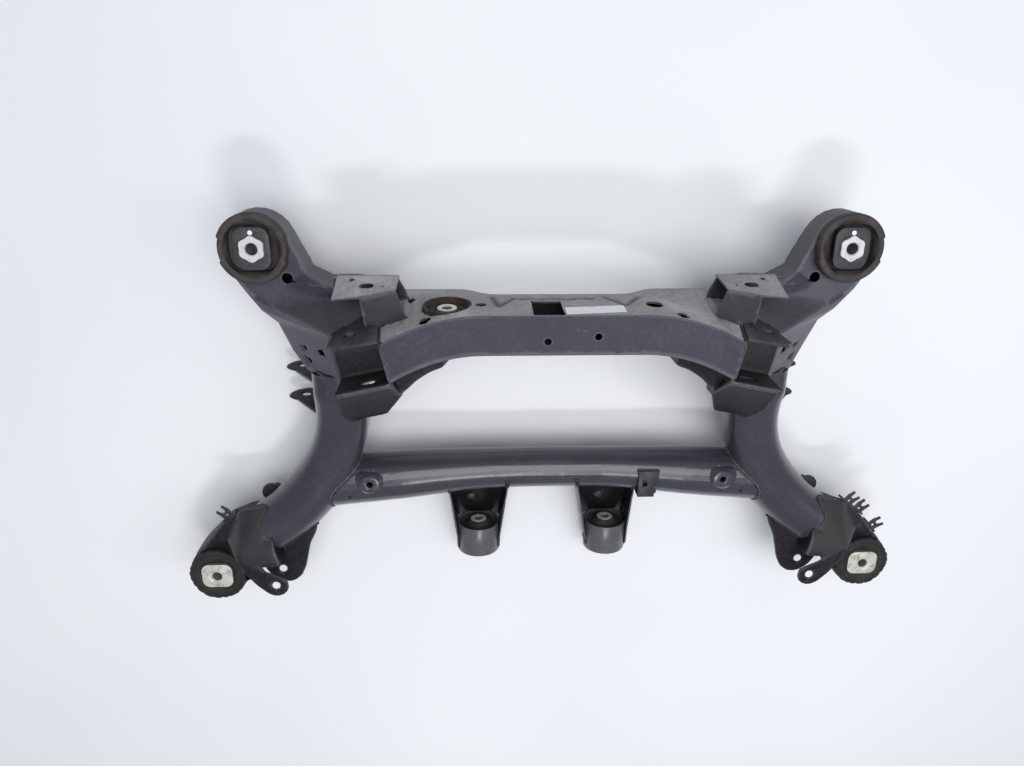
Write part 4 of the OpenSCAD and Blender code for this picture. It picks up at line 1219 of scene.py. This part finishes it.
@dataclass
class Label:
    """Blank white sticker on the cross member's top face."""

    across_mm: tuple[float, float] = (2.0, 77.0)
    low_mm: tuple[float, float] = (275.0, 267.0)
    wide_mm: float = 27.0
    columns: int = 24
    rows: int = 8
    film_mm: float = 0.25

    def stick(self, shop: Workshop, face: Object) -> None:
        """Lays the sticker on a dressed piece.

        Args:
            shop: the workshop.
            face: the piece that carries the sticker.
        """
        skin = face.data
        tree = BVHTree.FromPolygons([v.co for v in skin.vertices], [p.vertices for p in skin.polygons])
        points = []
        for j in range(self.rows + 1):
            for i in range(self.columns + 1):
                x = np.interp(i, (0, self.columns), self.across_mm) * MM
                low = np.interp(i, (0, self.columns), self.low_mm)
                z = (low - self.wide_mm * (1.0 - j / self.rows)) * MM
                spot, normal, _, _ = tree.ray_cast(Vector((x, 0.5, z)), Vector((0.0, -1.0, 0.0)))
                points.append(spot + normal * self.film_mm * MM)
        wide = self.columns + 1
        quads = [(j * wide + i, (j + 1) * wide + i, (j + 1) * wide + i + 1, j * wide + i + 1)
                 for j in range(self.rows) for i in range(self.columns)]
        mesh = bpy.data.meshes.new("label")
        mesh.from_pydata(points, [], quads)
        mesh.shade_smooth()
        shop.piece("label", mesh, Finishes.LABEL)


@dataclass
class Studio:
    """Pale floor, soft lamps and the camera at the photograph's angle."""

    pitch_deg: float = 20.0
    yaw_deg: float = -2.918
    roll_deg: float = 0.477
    stand_m: Point = (-0.110436, 0.438855, 1.17613)
    lens_mm: float = 27.0
    floor_m: float = 6.0
    aim_m: Point = (0.0, 0.0, 0.12)
    world: Colour = (0.86, 0.92, 1.0)
    world_strength: float = 0.38

    def build(self) -> None:
        """Makes floor, lamps, world and camera."""
        self.floor()
        self.lamp("key", (0.3, 0.55, 3.1), (2.4, 1.8), 66.0)
        self.lamp("window", (1.6, 0.1, 1.9), (0.5, 0.9), 5.0)
        self.lamp("bulbs", (0.1, -0.95, 2.4), (0.6, 0.16), 13.0)
        self.sky()
        self.camera()

    def floor(self) -> None:
        """Lays the floor under the part."""
        mesh = bpy.data.meshes.new("floor")
        half = self.floor_m
        corners = [(-half, -half, 0), (half, -half, 0), (half, half, 0), (-half, half, 0)]
        mesh.from_pydata(corners, [], [(0, 1, 2, 3)])
        made = linked("floor", mesh)
        mesh.materials.append(FloorFinish().make())

    def lamp(self, name: str, place: Point, size: tuple[float, float], power: float) -> None:
        """Hangs one area lamp that looks at the part's middle.

        Args:
            name: the lamp's name.
            place: its place in metres.
            size: its width and height in metres.
            power: its power in watts.
        """
        data = bpy.data.lights.new(name, "AREA")
        data.shape = "RECTANGLE"
        data.size, data.size_y = size
        data.energy = power
        made = linked(name, data)
        made.location = place
        aim = Vector(self.aim_m) - Vector(place)
        made.rotation_euler = aim.to_track_quat("-Z", "Y").to_euler()

    def sky(self) -> None:
        """Sets an even pale world."""
        world = bpy.data.worlds.new("studio_world")
        world.use_nodes = True
        back = world.node_tree.nodes["Background"]
        back.inputs["Color"].default_value = (*self.world, 1.0)
        back.inputs["Strength"].default_value = self.world_strength
        bpy.context.scene.world = world
        bpy.context.scene.view_settings.view_transform = "Standard"

    def camera(self) -> None:
        """Stands the camera where the photograph was taken from."""
        pitch, yaw, roll = (math.radians(a) for a in (self.pitch_deg, self.yaw_deg, self.roll_deg))
        back = Vector((math.sin(yaw) * math.cos(pitch), math.sin(pitch), math.cos(yaw) * math.cos(pitch)))
        level = Vector((math.cos(yaw), 0.0, -math.sin(yaw)))
        rise = back.cross(level)
        right = level * math.cos(roll) + rise * math.sin(roll)
        up = rise * math.cos(roll) - level * math.sin(roll)
        data = bpy.data.cameras.new("photo_camera")
        data.sensor_width = 36.0
        data.lens = self.lens_mm
        made = linked("photo_camera", data)
        made.matrix_world = Matrix.Translation(self.stand_m) @ Matrix((right, up, back)).transposed().to_4x4()
        bpy.context.scene.camera = made


def main() -> None:
    """Builds the dressed part and its studio."""
    logging.basicConfig(level=logging.INFO, format="%(name)s: %(message)s")
    shop = Workshop(Paints())
    rounder = Rounder(shop)
    welder = Welder(shop)
    dressed: dict[str, Object] = {}
    tubes = TubeFrame()
    bushes = Bushes()
    for assembly in (Pressings(), tubes, bushes):
        for group in assembly.groups():
            for node in group.nodes():
                dressed[node] = rounder.dress(node, group.finish, group.style)
        for seed, seam in enumerate(assembly.seams()):
            welder.weld(seam, seed)
    tubes.turn(shop)
    bushes.turn(shop)
    Label().stick(shop, dressed["cross_member_top"])
    Studio().build()


if __name__ == "__main__":
    main()
